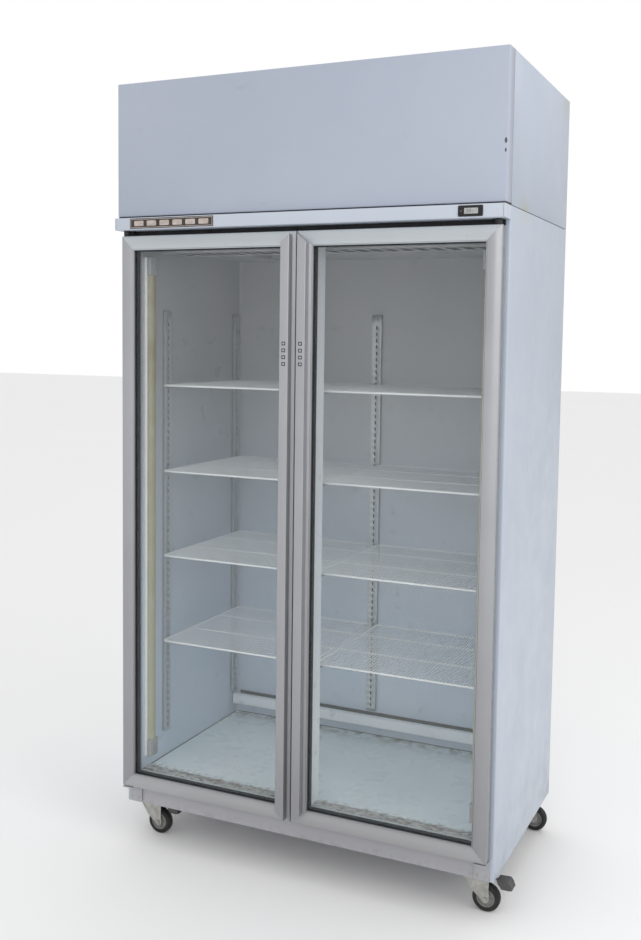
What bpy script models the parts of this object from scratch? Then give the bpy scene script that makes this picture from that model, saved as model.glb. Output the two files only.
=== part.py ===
"""Upright two-door glass merchandiser on castors, with its cooling unit in an open-topped header.

Everything is modelled in the cabinet's own frame: X = 0 on the centre line, Y = 0 at the front edge of
the side panels with +Y towards the back, Z = 0 on the floor, all in metres. One empty, the cabinet's
parent, then shifts the whole model so that the world origin is at the bottom centre of its box.
"""

import math

import bmesh
import bpy
from mathutils import Matrix, Vector

# Driving sizes of the cabinet
WIDTH = 1.130
HEIGHT = 2.200
BODY_DEPTH = 0.614
UNDERSIDE = 0.110
BODY_TOP = 1.827
WALL = 0.051
SHEET = 0.0015
GAP = 0.0003
CORNER_RADIUS = 0.005
HALF = WIDTH / 2

# The chilled space
LINER_X = HALF - WALL
LINER_BACK = 0.566
FLOOR_TOP = 0.212
CEILING = 1.748
BASE_TOP = 0.168

# Header and trim strip
HEADER_FRONT = -0.043
HEADER_TOP_FLANGE = 0.025
STRIP_FRONT = -0.058
STRIP_BOTTOM = 1.793
STRIP_WALL = 0.0025
PLATE_X = (-0.513, -0.2435)
PLATE_Z = (1.796, 1.824)
DISPLAY_X = (0.448, 0.511)
DISPLAY_Z = (1.7965, 1.8235)

# Doors
DOOR_BOTTOM = 0.172
DOOR_TOP = 1.778
DOOR_OUTER_X = 0.555
DOOR_SEAM = 0.003
DOOR_FRONT = -0.042
DOOR_BACK = -0.0085
GLASS_FRONT = -0.0302
GLASS_BACK = -0.0088
RAIL_WIDTH = 0.040
MEETING_WIDTH = 0.046
REBATE = 0.010
EDGE_ROUND = 0.0025
HANDLE_WIDTH = 0.026
HANDLE_FRONT = -0.062
GASKET_INSET = 0.013
GASKET_WIDTH = 0.016
HINGE_INSET = 0.012
HINGE_Y = DOOR_FRONT + HINGE_INSET
PIN_RADIUS = 0.004
PIN_SIDES = 24
RUNNING_CLEARANCE = 0.0001
PIN_DEPTH = 0.014

# Shelves
SHELF_LEVELS = (0.585, 0.845, 1.100, 1.355)
SHELF_THICKNESS = 0.003
SHELF_FRONT = 0.085
SHELF_BACK = 0.550
SHELF_INNER_X = 0.004
SHELF_OUTER_X = 0.503

# Fittings on the liner
MULLION_HALF = 0.045
MULLION_BACK = 0.046
PILASTER_WIDTH = 0.028
PILASTER_PROUD = 0.010
PILASTER_Z = (0.295, 1.572)
PILASTER_FRONTS = (("front", 0.107), ("rear", 0.518))
CENTRE_PILASTER_X = (-0.027, 0.004)
GUARD_RAIL_Y = (0.522, 0.546)
GUARD_RAIL_Z = (0.251, 0.285)
LAMP_Y = (0.012, 0.052)
LAMP_PROUD = 0.022
LAMP_TOP = 1.722

# Castors
CASTOR_X = 0.509
CASTOR_FRONT_Y = 0.060
CASTOR_REAR_Y = BODY_DEPTH - 0.037
CASTOR_PLATE = 0.0035
WHEEL_RADIUS = 0.0375
WHEEL_WIDTH = 0.024
WHEEL_TRAIL = 0.022
AXLE_RADIUS = 0.004
FORK_TOP = 0.0965
FORK_HALF_WIDTH = 0.0165
FORK_SLOT_HALF_WIDTH = 0.0135
PEDAL_REACH = 0.095
PEDAL_PIVOT = (0.037, 0.086)

# Cooling unit on the roof
COMPRESSOR_PLACE = (0.300, 0.210)
FAN_X = 0.300
FAN_Z = 1.985
CONDENSER_FAN_RADIUS = 0.110
CONDENSER_FAN_Y = 0.478
EVAPORATOR_FAN_RADIUS = 0.065
EVAPORATOR_FAN_PLACE = (-0.270, 0.400, 1.872)
CONDENSER_FRONT = 0.455
CONDENSER_BACK = 0.560
CONDENSER_TOP = 2.130
CONDENSER_HALF = 0.185
MOTOR_RADIUS = 0.026
SLOT_BANKS = (-0.110, 0.110)
SLOT_ROWS = 8
SLOT_PITCH = 0.030
SLOT_BOTTOM = 1.870
SLOT_SIZE = (0.180, 0.010)
ROOF = BODY_TOP - 0.0005
CONTROL_BOX = ((-0.055, 0.440, ROOF + GAP), (0.095, 0.602, ROOF + 0.110))
INLET_PLACE = (CONTROL_BOX[0][0] + 0.045, CONTROL_BOX[0][2] + 0.045)
INLET_HALF = (0.0165, 0.0125)

# The world origin is at the bottom centre of the whole model's box
SHIFT = (-(CASTOR_X + PEDAL_REACH - HALF) / 2, -(BODY_DEPTH + HANDLE_FRONT) / 2, 0.0)

PARENTS = {}
MATERIALS = {}


def clear_scene():
    for obj in list(bpy.data.objects):
        bpy.data.objects.remove(obj)


def make_material(name, colour, roughness, metallic=0.0, alpha=1.0):
    material = bpy.data.materials.new(name)
    material.use_nodes = True
    shader = material.node_tree.nodes["Principled BSDF"]
    shader.inputs["Base Color"].default_value = (*colour, 1.0)
    shader.inputs["Roughness"].default_value = roughness
    shader.inputs["Metallic"].default_value = metallic
    shader.inputs["Alpha"].default_value = alpha
    MATERIALS[name] = material


def make_materials():
    make_material("white_paint", (0.56, 0.60, 0.68), 0.35)
    make_material("base_paint", (0.36, 0.35, 0.35), 0.5)
    make_material("liner_white", (0.50, 0.57, 0.62), 0.4)
    make_material("anodised", (0.44, 0.44, 0.46), 0.38, 0.9)
    make_material("glass", (0.80, 0.90, 0.88), 0.05, 0.0, 0.3)
    make_material("black_rubber", (0.02, 0.02, 0.02), 0.8)
    make_material("gasket", (0.45, 0.46, 0.47), 0.7)
    make_material("white_wire", (0.80, 0.83, 0.84), 0.4)
    make_material("zinc", (0.45, 0.45, 0.42), 0.4, 0.9)
    make_material("grey_plastic", (0.12, 0.12, 0.12), 0.5)
    make_material("lamp_cover", (0.45, 0.46, 0.34), 0.45)
    make_material("black_enamel", (0.03, 0.03, 0.03), 0.4)
    make_material("fin_aluminium", (0.50, 0.52, 0.53), 0.45, 0.9)
    make_material("copper", (0.55, 0.25, 0.14), 0.4, 0.9)


def add_parent(name, place, parent=None):
    """An empty on a body's joint axis. Every piece of the body is parented to it."""
    empty = bpy.data.objects.new(f"{name}_frame", None)
    bpy.context.scene.collection.objects.link(empty)
    if parent is None:
        empty.location = place
        PARENTS[name] = (empty, Vector((0, 0, 0)))
        return
    owner, origin = PARENTS[parent]
    empty.parent = owner
    empty.location = Vector(place) - origin
    PARENTS[name] = (empty, Vector(place))


def add_object(name, bm, body, material, smooth_angle=35):
    """A mesh built in the cabinet's frame, moved into its body's frame and shaded."""
    owner, origin = PARENTS[body]
    bmesh.ops.translate(bm, verts=bm.verts, vec=-origin)
    bmesh.ops.recalc_face_normals(bm, faces=bm.faces)
    mesh = bpy.data.meshes.new(name)
    bm.to_mesh(mesh)
    bm.free()
    mesh.materials.append(MATERIALS[material])
    mesh.shade_smooth()
    mesh.set_sharp_from_angle(angle=math.radians(smooth_angle))
    obj = bpy.data.objects.new(name, mesh)
    bpy.context.scene.collection.objects.link(obj)
    obj.parent = owner
    return obj


def box_mesh(low, high):
    bm = bmesh.new()
    bmesh.ops.create_cube(bm, size=1.0)
    size = Vector(high) - Vector(low)
    middle = (Vector(high) + Vector(low)) / 2
    bmesh.ops.scale(bm, verts=bm.verts, vec=size)
    bmesh.ops.translate(bm, verts=bm.verts, vec=middle)
    return bm


def add_box(name, low, high, body, material):
    return add_object(name, box_mesh(low, high), body, material)


def mirrored_box(side, low, high):
    """A box given for the right-hand side (side = 1), mirrored to the left for side = -1."""
    xs = sorted((side * low[0], side * high[0]))
    return (xs[0], *low[1:]), (xs[1], *high[1:])


def prism_mesh(outline, axis, start, end):
    """The outline, in the two axes other than the given one and in X, Y, Z order, drawn out along it."""
    bm = bmesh.new()
    index = "xyz".index(axis)

    def point(pair, along):
        values = list(pair)
        values.insert(index, along)
        return values

    first = [bm.verts.new(point(pair, start)) for pair in outline]
    last = [bm.verts.new(point(pair, end)) for pair in outline]
    bm.faces.new(first)
    bm.faces.new(list(reversed(last)))
    count = len(outline)
    for i in range(count):
        j = (i + 1) % count
        bm.faces.new((first[j], first[i], last[i], last[j]))
    return bm


def arc(centre, radius, start_deg, end_deg, steps):
    points = []
    for i in range(steps + 1):
        angle = math.radians(start_deg + (end_deg - start_deg) * i / steps)
        points.append((centre[0] + radius * math.cos(angle), centre[1] + radius * math.sin(angle)))
    return points


def turned_mesh(profile, place, axis, sides):
    """A closed profile of (radius, height) points turned about an axis through the place."""
    bm = bmesh.new()
    turn = {"z": Matrix.Identity(3), "y": Matrix.Rotation(math.radians(-90), 3, "X")}[axis]
    rings = []
    for i in range(sides):
        angle = 2 * math.pi * i / sides
        ring = []
        for radius, height in profile:
            point = Vector((radius * math.cos(angle), radius * math.sin(angle), height))
            ring.append(bm.verts.new(turn @ point + Vector(place)))
        rings.append(ring)
    count = len(profile)
    for i in range(sides):
        here, there = rings[i], rings[(i + 1) % sides]
        for k in range(count):
            m = (k + 1) % count
            bm.faces.new((here[k], there[k], there[m], here[m]))
    bmesh.ops.remove_doubles(bm, verts=bm.verts, dist=1e-6)
    bmesh.ops.dissolve_degenerate(bm, edges=bm.edges, dist=1e-7)
    return bm


def cylinder_mesh(radius, place, axis, start, end, sides=16):
    """A round bar along an axis, from start to end, through the place's other two coordinates."""
    index = "xyz".index(axis)
    others = [place[i] for i in range(3) if i != index]
    outline = [
        (others[0] + radius * math.cos(2 * math.pi * i / sides),
         others[1] + radius * math.sin(2 * math.pi * i / sides))
        for i in range(sides)
    ]
    return prism_mesh(outline, axis, start, end)


def combine(obj, bm, operation):
    """Applies a Boolean with a hidden helper made from the mesh, which stands in the cabinet's frame."""
    owner, origin = obj.parent, next(place for empty, place in PARENTS.values() if empty == obj.parent)
    bmesh.ops.translate(bm, verts=bm.verts, vec=-origin)
    bmesh.ops.recalc_face_normals(bm, faces=bm.faces)
    mesh = bpy.data.meshes.new(obj.name + "_helper")
    bm.to_mesh(mesh)
    bm.free()
    helper = bpy.data.objects.new(obj.name + "_helper", mesh)
    bpy.context.scene.collection.objects.link(helper)
    helper.parent = owner
    helper.hide_render = True
    helper.display_type = "WIRE"
    modifier = obj.modifiers.new(operation.lower(), "BOOLEAN")
    modifier.operation = operation
    modifier.object = helper
    modifier.solver = "EXACT"


def cut(obj, bm):
    combine(obj, bm, "DIFFERENCE")


def join(obj, bm):
    combine(obj, bm, "UNION")


def ring_mesh(outer, inner, front, back):
    """A flat rectangular ring in the XZ plane. Outer and inner are (x low, x high, z low, z high)."""
    bm = bmesh.new()

    def loop(rect, y):
        x0, x1, z0, z1 = rect
        return [bm.verts.new((x, y, z)) for x, z in ((x0, z0), (x1, z0), (x1, z1), (x0, z1))]

    loops = [loop(outer, front), loop(inner, front), loop(inner, back), loop(outer, back)]
    for k in range(4):
        here, there = loops[k], loops[(k + 1) % 4]
        for i in range(4):
            j = (i + 1) % 4
            bm.faces.new((here[i], here[j], there[j], there[i]))
    return bm


# Cabinet shell


def add_outer_shell():
    """One folded skin: both sides, with rounded front corners and front flanges, and the back."""
    flange_x = LINER_X + 0.003
    centre = (HALF - CORNER_RADIUS, CORNER_RADIUS)
    outer = [(flange_x, 0.0)] + arc(centre, CORNER_RADIUS, 270, 360, 4) + [(HALF, BODY_DEPTH)]
    inner = [(flange_x, SHEET)] + arc(centre, CORNER_RADIUS - SHEET, 270, 360, 4)
    inner += [(HALF - SHEET, BODY_DEPTH - SHEET)]
    outline = outer + [(-x, y) for x, y in reversed(outer)]
    outline += [(-x, y) for x, y in inner] + list(reversed(inner))
    add_object("outer_shell", prism_mesh(outline, "z", UNDERSIDE, BODY_TOP - GAP), "cabinet", "white_paint")


def add_base_frame():
    """A folded base tray, open below, whose front is the plinth, with a pad for each castor's plate."""
    inside = HALF - CORNER_RADIUS
    front, back = SHEET + GAP, BODY_DEPTH - SHEET - GAP
    wall = 0.002
    tray = add_box("base_frame", (-inside, front, UNDERSIDE), (inside, back, BASE_TOP),
                   "cabinet", "base_paint")
    cut(tray, box_mesh((-inside + wall, front + wall, UNDERSIDE - 0.01),
                       (inside - wall, back - wall, BASE_TOP - wall)))
    pad = 0.034
    for x in (-CASTOR_X, CASTOR_X):
        for y in (CASTOR_FRONT_Y, CASTOR_REAR_Y):
            low, high = UNDERSIDE - CASTOR_PLATE, BASE_TOP - wall / 2
            join(tray, box_mesh((x - pad, y - pad, low), (x + pad, y + pad, high)))


def add_insulated_panels():
    """The foam-backed liner: each wall of the chilled space is one bonded slab."""
    skin = HALF - CORNER_RADIUS
    front, back = SHEET + GAP, BODY_DEPTH - SHEET - GAP
    low, high = BASE_TOP + GAP, ROOF
    for side, name in ((-1, "left"), (1, "right")):
        corners = mirrored_box(side, (LINER_X, front, low), (skin, back, high))
        add_box(f"liner_wall_{name}", *corners, "cabinet", "liner_white")
    inner = LINER_X - GAP
    add_box("liner_back", (-inner, LINER_BACK, low), (inner, back, high), "cabinet", "liner_white")
    add_box("liner_floor", (-inner, front, low), (inner, LINER_BACK - GAP, FLOOR_TOP),
            "cabinet", "liner_white")
    roof = add_box("liner_roof", (-inner, front, CEILING), (inner, LINER_BACK - GAP, high),
                   "cabinet", "liner_white")
    fan_x, fan_y = EVAPORATOR_FAN_PLACE[:2]
    for half_x, y0, y1 in ((0.15, 0.09, 0.19), (0.08, fan_y - 0.08, fan_y + 0.08)):
        cut(roof, box_mesh((fan_x - half_x, y0, CEILING - 0.01), (fan_x + half_x, y1, high + 0.01)))


def add_mullion():
    """The insulated post between the two doors, which both doors' gaskets close on."""
    add_box("centre_mullion", (-MULLION_HALF, 0.0, FLOOR_TOP + GAP),
            (MULLION_HALF, MULLION_BACK, CEILING - GAP), "cabinet", "liner_white")


# Header


def add_header():
    panel = add_box("header_front_panel", (-HALF, HEADER_FRONT, BODY_TOP), (HALF, -GAP, HEIGHT),
                    "cabinet", "white_paint")
    wall = 0.0018
    cut(panel, box_mesh((-HALF + wall, HEADER_FRONT + wall, BODY_TOP + wall),
                        (HALF - wall, 0.02, HEIGHT - wall)))
    cut(panel, box_mesh((-HALF + wall, HEADER_FRONT + HEADER_TOP_FLANGE, HEIGHT - 0.02),
                        (HALF - wall, 0.02, HEIGHT + 0.02)))
    add_header_surround()


def add_header_surround():
    """The sides and back of the machine compartment, with two banks of slots behind the condenser."""
    lip = HEADER_TOP_FLANGE
    surround = add_box("header_surround", (-HALF, 0.0, BODY_TOP), (HALF, BODY_DEPTH, HEIGHT),
                       "cabinet", "white_paint")
    cut(surround, box_mesh((-HALF + SHEET, -0.01, BODY_TOP - 0.01),
                           (HALF - SHEET, BODY_DEPTH - SHEET, HEIGHT - SHEET)))
    cut(surround, box_mesh((-HALF + lip, -0.01, HEIGHT - 0.02),
                           (HALF - lip, BODY_DEPTH - lip, HEIGHT + 0.01)))
    slot_width, slot_height = SLOT_SIZE
    for bank_x in SLOT_BANKS:
        for row in range(SLOT_ROWS):
            x, z = FAN_X + bank_x, SLOT_BOTTOM + row * SLOT_PITCH
            cut(surround, box_mesh((x - slot_width / 2, BODY_DEPTH - 0.01, z),
                                   (x + slot_width / 2, BODY_DEPTH + 0.01, z + slot_height)))
    x, z = INLET_PLACE
    across, up = INLET_HALF[0] + SHEET, INLET_HALF[1] + SHEET
    cut(surround, box_mesh((x - across, BODY_DEPTH - 0.01, z - up), (x + across, BODY_DEPTH + 0.01, z + up)))


def hinge_x(side):
    return side * (DOOR_OUTER_X - HINGE_INSET)


def add_trim_strip():
    """The hollow strip over the doors. It carries both top hinge pins and the display."""
    half = HALF - GAP
    strip = add_box("trim_strip", (-half, STRIP_FRONT, STRIP_BOTTOM), (half, -GAP, BODY_TOP - GAP),
                    "cabinet", "white_paint")
    cut(strip, box_mesh((-half + STRIP_WALL, STRIP_FRONT + STRIP_WALL, STRIP_BOTTOM + STRIP_WALL),
                        (half - STRIP_WALL, 0.02, BODY_TOP - GAP - STRIP_WALL)))
    for side in (-1, 1):
        place = (hinge_x(side), HINGE_Y, 0.0)
        join(strip, cylinder_mesh(PIN_RADIUS, place, "z", DOOR_TOP - PIN_DEPTH, STRIP_BOTTOM + STRIP_WALL / 2,
                                  PIN_SIDES))
    join(strip, box_mesh((PLATE_X[0], STRIP_FRONT - 0.0015, PLATE_Z[0]),
                         (PLATE_X[1], STRIP_FRONT + 0.001, PLATE_Z[1])))
    (left, right), (low, high) = DISPLAY_X, DISPLAY_Z
    cut(strip, box_mesh((left - GAP, STRIP_FRONT - 0.01, low - GAP),
                        (right + GAP, STRIP_FRONT + 0.01, high + GAP)))
    bezel = add_box("display_bezel", (left, STRIP_FRONT - 0.0025, low), (right, STRIP_FRONT + 0.012, high),
                    "cabinet", "black_enamel")
    rim = 0.005
    cut(bezel, box_mesh((left + rim, STRIP_FRONT - 0.01, low + rim),
                        (right - rim, STRIP_FRONT - 0.0005, high - rim)))


def add_hinge_brackets():
    """A plate on the plinth at each corner, with a tab under the door and the lower hinge pin."""
    plate_width, plate = 0.042, 0.003
    tab_top = DOOR_BOTTOM - 0.0028
    for side, name in ((-1, "left"), (1, "right")):
        outer = DOOR_OUTER_X
        corners = mirrored_box(side, (outer - plate_width, -GAP - plate, UNDERSIDE + 0.002),
                               (outer, -GAP, tab_top))
        bracket = add_box(f"hinge_bracket_{name}", *corners, "cabinet", "white_paint")
        tab = mirrored_box(side, (outer - 0.032, DOOR_FRONT + 0.002, tab_top - plate),
                           (outer, -GAP - plate / 2, tab_top))
        join(bracket, box_mesh(*tab))
        place = (hinge_x(side), HINGE_Y, 0.0)
        join(bracket, cylinder_mesh(PIN_RADIUS, place, "z", tab_top - plate / 2, DOOR_BOTTOM + PIN_DEPTH,
                                    PIN_SIDES))


# Doors


def frame_profile(width, handle=()):
    """(distance from the frame's outer edge, y) round the section of a door frame member."""
    r = EDGE_ROUND
    points = arc((r, DOOR_FRONT + r), r, 180, 270, 3)
    points += handle
    points += arc((width - r, DOOR_FRONT + r), r, 270, 360, 3)
    points += [(width, GLASS_FRONT - GAP), (width - REBATE, GLASS_FRONT - GAP)]
    points += [(width - REBATE, DOOR_BACK), (0.0, DOOR_BACK)]
    return points


def handle_ridge():
    """The raised pull along the middle of the meeting stile's section."""
    start, end, r = (MEETING_WIDTH - HANDLE_WIDTH) / 2, (MEETING_WIDTH + HANDLE_WIDTH) / 2, 0.002
    points = [(start, DOOR_FRONT)] + arc((start + r, HANDLE_FRONT + r), r, 180, 270, 2)
    return points + arc((end - r, HANDLE_FRONT + r), r, 270, 360, 2) + [(end, DOOR_FRONT)]


def mitred_bar(profile, place_at, start, end, start_slope, end_slope):
    """Draws a profile from start to end, its ends cut back by slope times the distance from the edge."""
    bm = bmesh.new()
    first = [bm.verts.new(place_at(s, y, start + GAP / 2 + s * start_slope)) for s, y in profile]
    last = [bm.verts.new(place_at(s, y, end - GAP / 2 - s * end_slope)) for s, y in profile]
    bm.faces.new(first)
    bm.faces.new(list(reversed(last)))
    count = len(profile)
    for i in range(count):
        j = (i + 1) % count
        bm.faces.new((first[j], first[i], last[i], last[j]))
    return bm


def add_door(side, name):
    """Four mitred frame members, the meeting one with a handle ridge, a double-glazed unit and a gasket."""
    body = f"{name}_door"
    outer, inner = side * DOOR_OUTER_X, side * DOOR_SEAM / 2
    meeting_slope = RAIL_WIDTH / MEETING_WIDTH

    def hinge_stile(s, y, z):
        return outer - side * s, y, z

    def meeting_stile(s, y, z):
        return inner + side * s, y, z

    # A rail runs from the hinge side to the meeting side, so its length is measured from the outer edge.
    length = DOOR_OUTER_X - DOOR_SEAM / 2

    def bottom_rail(s, y, along):
        return outer - side * along, y, DOOR_BOTTOM + s

    def top_rail(s, y, along):
        return outer - side * along, y, DOOR_TOP - s

    stile = frame_profile(RAIL_WIDTH)
    bars = {
        "hinge_stile": mitred_bar(stile, hinge_stile, DOOR_BOTTOM, DOOR_TOP, 1.0, 1.0),
        "meeting_stile": mitred_bar(frame_profile(MEETING_WIDTH, handle_ridge()), meeting_stile,
                                    DOOR_BOTTOM, DOOR_TOP, meeting_slope, meeting_slope),
        "bottom_rail": mitred_bar(stile, bottom_rail, 0.0, length, 1.0, 1 / meeting_slope),
        "top_rail": mitred_bar(stile, top_rail, 0.0, length, 1.0, 1 / meeting_slope),
    }
    objects = {}
    for bar_name, mesh in bars.items():
        objects[bar_name] = add_object(f"{name}_door_{bar_name}", mesh, body, "anodised")
    hole_radius = PIN_RADIUS + RUNNING_CLEARANCE
    place = (hinge_x(side), HINGE_Y, 0.0)
    for low, high, rail in ((DOOR_BOTTOM - 0.01, DOOR_BOTTOM + PIN_DEPTH + 0.001, "bottom_rail"),
                            (DOOR_TOP - PIN_DEPTH - 0.001, DOOR_TOP + 0.01, "top_rail")):
        for bar_name in (rail, "hinge_stile"):
            cut(objects[bar_name], cylinder_mesh(hole_radius, place, "z", low, high, PIN_SIDES))
    add_door_glass(side, name, body)


def add_door_glass(side, name, body):
    rebate_gap = REBATE - GAP
    x0 = side * (DOOR_OUTER_X - RAIL_WIDTH + rebate_gap)
    x1 = side * (DOOR_SEAM / 2 + MEETING_WIDTH - rebate_gap)
    z0, z1 = DOOR_BOTTOM + RAIL_WIDTH - rebate_gap, DOOR_TOP - RAIL_WIDTH + rebate_gap
    add_box(f"{name}_door_glass_unit", (min(x0, x1), GLASS_FRONT, z0), (max(x0, x1), GLASS_BACK, z1),
            body, "glass")
    outer = (side * (DOOR_OUTER_X - GASKET_INSET), side * (DOOR_SEAM / 2 + 0.004))
    x_low, x_high = min(outer), max(outer)
    z_low, z_high = DOOR_BOTTOM + GASKET_INSET, DOOR_TOP - GASKET_INSET
    w = GASKET_WIDTH
    mesh = ring_mesh((x_low, x_high, z_low, z_high), (x_low + w, x_high - w, z_low + w, z_high - w),
                     DOOR_BACK + GAP, -GAP)
    add_object(f"{name}_door_gasket", mesh, body, "gasket")


# Fittings inside


def add_pilasters():
    """Slotted strips that the shelf clips hook into: two on each side wall and one on the back wall."""
    low, high = PILASTER_Z
    wall, back = LINER_X - GAP, LINER_BACK - GAP
    for side, name in ((-1, "left"), (1, "right")):
        for where, y in PILASTER_FRONTS:
            corners = mirrored_box(side, (wall - PILASTER_PROUD, y, low), (wall, y + PILASTER_WIDTH, high))
            add_box(f"pilaster_{name}_{where}", *corners, "cabinet", "anodised")
    add_box("pilaster_rear_centre", (CENTRE_PILASTER_X[0], back - PILASTER_PROUD, low),
            (CENTRE_PILASTER_X[1], back, high), "cabinet", "anodised")


def add_shelves():
    """Each level has one shelf per door. The wires are modelled as the flat panel they fill."""
    for level, z in enumerate(SHELF_LEVELS, start=1):
        for side, name in ((-1, "left"), (1, "right")):
            corners = mirrored_box(side, (SHELF_INNER_X, SHELF_FRONT, z - SHELF_THICKNESS),
                                   (SHELF_OUTER_X, SHELF_BACK, z))
            add_box(f"shelf_{name}_{level}", *corners, "cabinet", "white_wire")


def add_rear_guard_rail():
    """The low rail across the back that keeps the stock off the air path."""
    half = LINER_X - 0.008
    (front, back), (low, high) = GUARD_RAIL_Y, GUARD_RAIL_Z
    add_box("rear_guard_rail", (-half, front, low), (half, back, high), "cabinet", "liner_white")


def add_lamps():
    """An upright strip lamp down the front of each side wall, with its two room-side edges cut off."""
    wall, (front, back), cut_off = LINER_X - GAP, LAMP_Y, (0.010, 0.008)
    for side, name in ((-1, "left"), (1, "right")):
        outline = [(wall, front), (wall, back), (wall - LAMP_PROUD + cut_off[0], back)]
        outline += [(wall - LAMP_PROUD, back - cut_off[1]), (wall - LAMP_PROUD, front + cut_off[1])]
        outline += [(wall - LAMP_PROUD + cut_off[0], front)]
        outline = [(side * x, y) for x, y in outline]
        mesh = prism_mesh(outline, "z", FLOOR_TOP + 0.012, LAMP_TOP)
        add_object(f"lamp_{name}", mesh, "cabinet", "lamp_cover")


# Cooling unit


def fan_mesh(radius, thickness, hub_radius, blades):
    """A hub with flat pitched blades, about Z through the origin."""
    hub = cylinder_mesh(hub_radius, (0, 0, 0), "z", -thickness / 2, thickness / 2, 20)
    blade_meshes = []
    for i in range(blades):
        blade = box_mesh((hub_radius * 0.7, -radius * 0.24, -0.001), (radius, radius * 0.24, 0.001))
        pitch = Matrix.Rotation(math.radians(24), 3, "X")
        bmesh.ops.rotate(blade, verts=blade.verts, cent=(0, 0, 0), matrix=pitch)
        turn = Matrix.Rotation(2 * math.pi * i / blades, 3, "Z")
        bmesh.ops.rotate(blade, verts=blade.verts, cent=(0, 0, 0), matrix=turn)
        blade_meshes.append(blade)
    return hub, blade_meshes


def add_fan(name, body, place, axis, radius, thickness, hub_radius, blades):
    hub, blade_meshes = fan_mesh(radius, thickness, hub_radius, blades)
    turn = Matrix.Identity(3) if axis == "z" else Matrix.Rotation(math.radians(90), 3, "X")
    for mesh in [hub, *blade_meshes]:
        bmesh.ops.rotate(mesh, verts=mesh.verts, cent=(0, 0, 0), matrix=turn)
        bmesh.ops.translate(mesh, verts=mesh.verts, vec=place)
    fan = add_object(name, hub, body, "grey_plastic")
    for mesh in blade_meshes:
        join(fan, mesh)


def add_condensing_unit():
    """Compressor on its plate, and a finned condenser block with the fan's shroud on its front."""
    base = ROOF + GAP
    foot = 0.004
    x, y = COMPRESSOR_PLACE
    profile = [(0.0, base + 0.001), (0.070, base + 0.001), (0.082, base + 0.020), (0.085, base + 0.090)]
    profile += [(0.078, base + 0.135), (0.060, base + 0.165), (0.034, base + 0.182), (0.0, base + 0.186)]
    mesh = turned_mesh(profile, (x, y, 0.0), "z", 28)
    compressor = add_object("compressor", mesh, "cabinet", "black_enamel")
    join(compressor, box_mesh((x - 0.105, y - 0.085, base), (x + 0.105, y + 0.085, base + foot)))
    condenser = add_box("condenser_coil", (FAN_X - CONDENSER_HALF, CONDENSER_FRONT, base),
                        (FAN_X + CONDENSER_HALF, CONDENSER_BACK, CONDENSER_TOP), "cabinet", "fin_aluminium")
    middle = (FAN_X, 0.0, FAN_Z)
    tunnel, tunnel_end = CONDENSER_FAN_RADIUS + 0.006, CONDENSER_FRONT + 0.050
    cut(condenser, cylinder_mesh(tunnel, middle, "y", CONDENSER_FRONT - 0.01, tunnel_end, 32))
    join(condenser, cylinder_mesh(MOTOR_RADIUS, middle, "y", CONDENSER_FAN_Y + 0.014, tunnel_end + 0.002, 16))
    add_fan("condenser_fan", "condenser_fan", (FAN_X, CONDENSER_FAN_Y, FAN_Z), "y",
            CONDENSER_FAN_RADIUS, 0.026, 0.030, 5)


def tube_mesh(path, radius, sides=10):
    """A round tube's outside along a path of points, with flat ends."""
    points = [Vector(point) for point in path]
    bm = bmesh.new()
    rings = []
    side = Vector((0, 0, 1)).cross(points[1] - points[0]).normalized()
    turns = [2 * math.pi * k / sides for k in range(sides)]
    for i, point in enumerate(points):
        ahead = points[min(i + 1, len(points) - 1)] - points[max(i - 1, 0)]
        side = (side - side.project(ahead)).normalized()
        other = ahead.normalized().cross(side)
        offsets = [radius * (side * math.cos(t) + other * math.sin(t)) for t in turns]
        rings.append([bm.verts.new(point + offset) for offset in offsets])
    for here, there in zip(rings, rings[1:]):
        for k in range(sides):
            m = (k + 1) % sides
            bm.faces.new((here[k], here[m], there[m], there[k]))
    bm.faces.new(list(reversed(rings[0])))
    bm.faces.new(rings[-1])
    return bm


def rounded_path(corners, radius, steps=5):
    """The corners joined by straight runs, each inner corner rounded."""
    points = [Vector(corners[0])]
    for before, corner, after in zip(corners, corners[1:], corners[2:]):
        corner = Vector(corner)
        start = corner + (Vector(before) - corner).normalized() * radius
        end = corner + (Vector(after) - corner).normalized() * radius
        for i in range(steps + 1):
            t = i / steps
            points.append(start * (1 - t) ** 2 + corner * 2 * t * (1 - t) + end * t ** 2)
    return points + [Vector(corners[-1])]


def add_pipe_and_control_box():
    """The suction pipe from the compressor to the evaporator, and the electrical box with its inlet."""
    x, y = COMPRESSOR_PLACE
    low, high, bend = ROOF + 0.135, ROOF + 0.180, x - 0.150
    corners = [(x - 0.0815, y, low), (bend, y, low), (bend, y, high), (-0.070 + GAP, y, high)]
    add_object("suction_pipe", tube_mesh(rounded_path(corners, 0.020), 0.005), "cabinet", "copper")
    box = add_box("control_box", *CONTROL_BOX, "cabinet", "grey_plastic")
    (x, z), (across, up), wall = INLET_PLACE, INLET_HALF, 0.003
    join(box, box_mesh((x - across, CONTROL_BOX[1][1] - 0.012, z - up), (x + across, BODY_DEPTH, z + up)))
    cut(box, box_mesh((x - across + wall, BODY_DEPTH - 0.009, z - up + wall),
                      (x + across - wall, BODY_DEPTH + 0.01, z + up - wall)))


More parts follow.
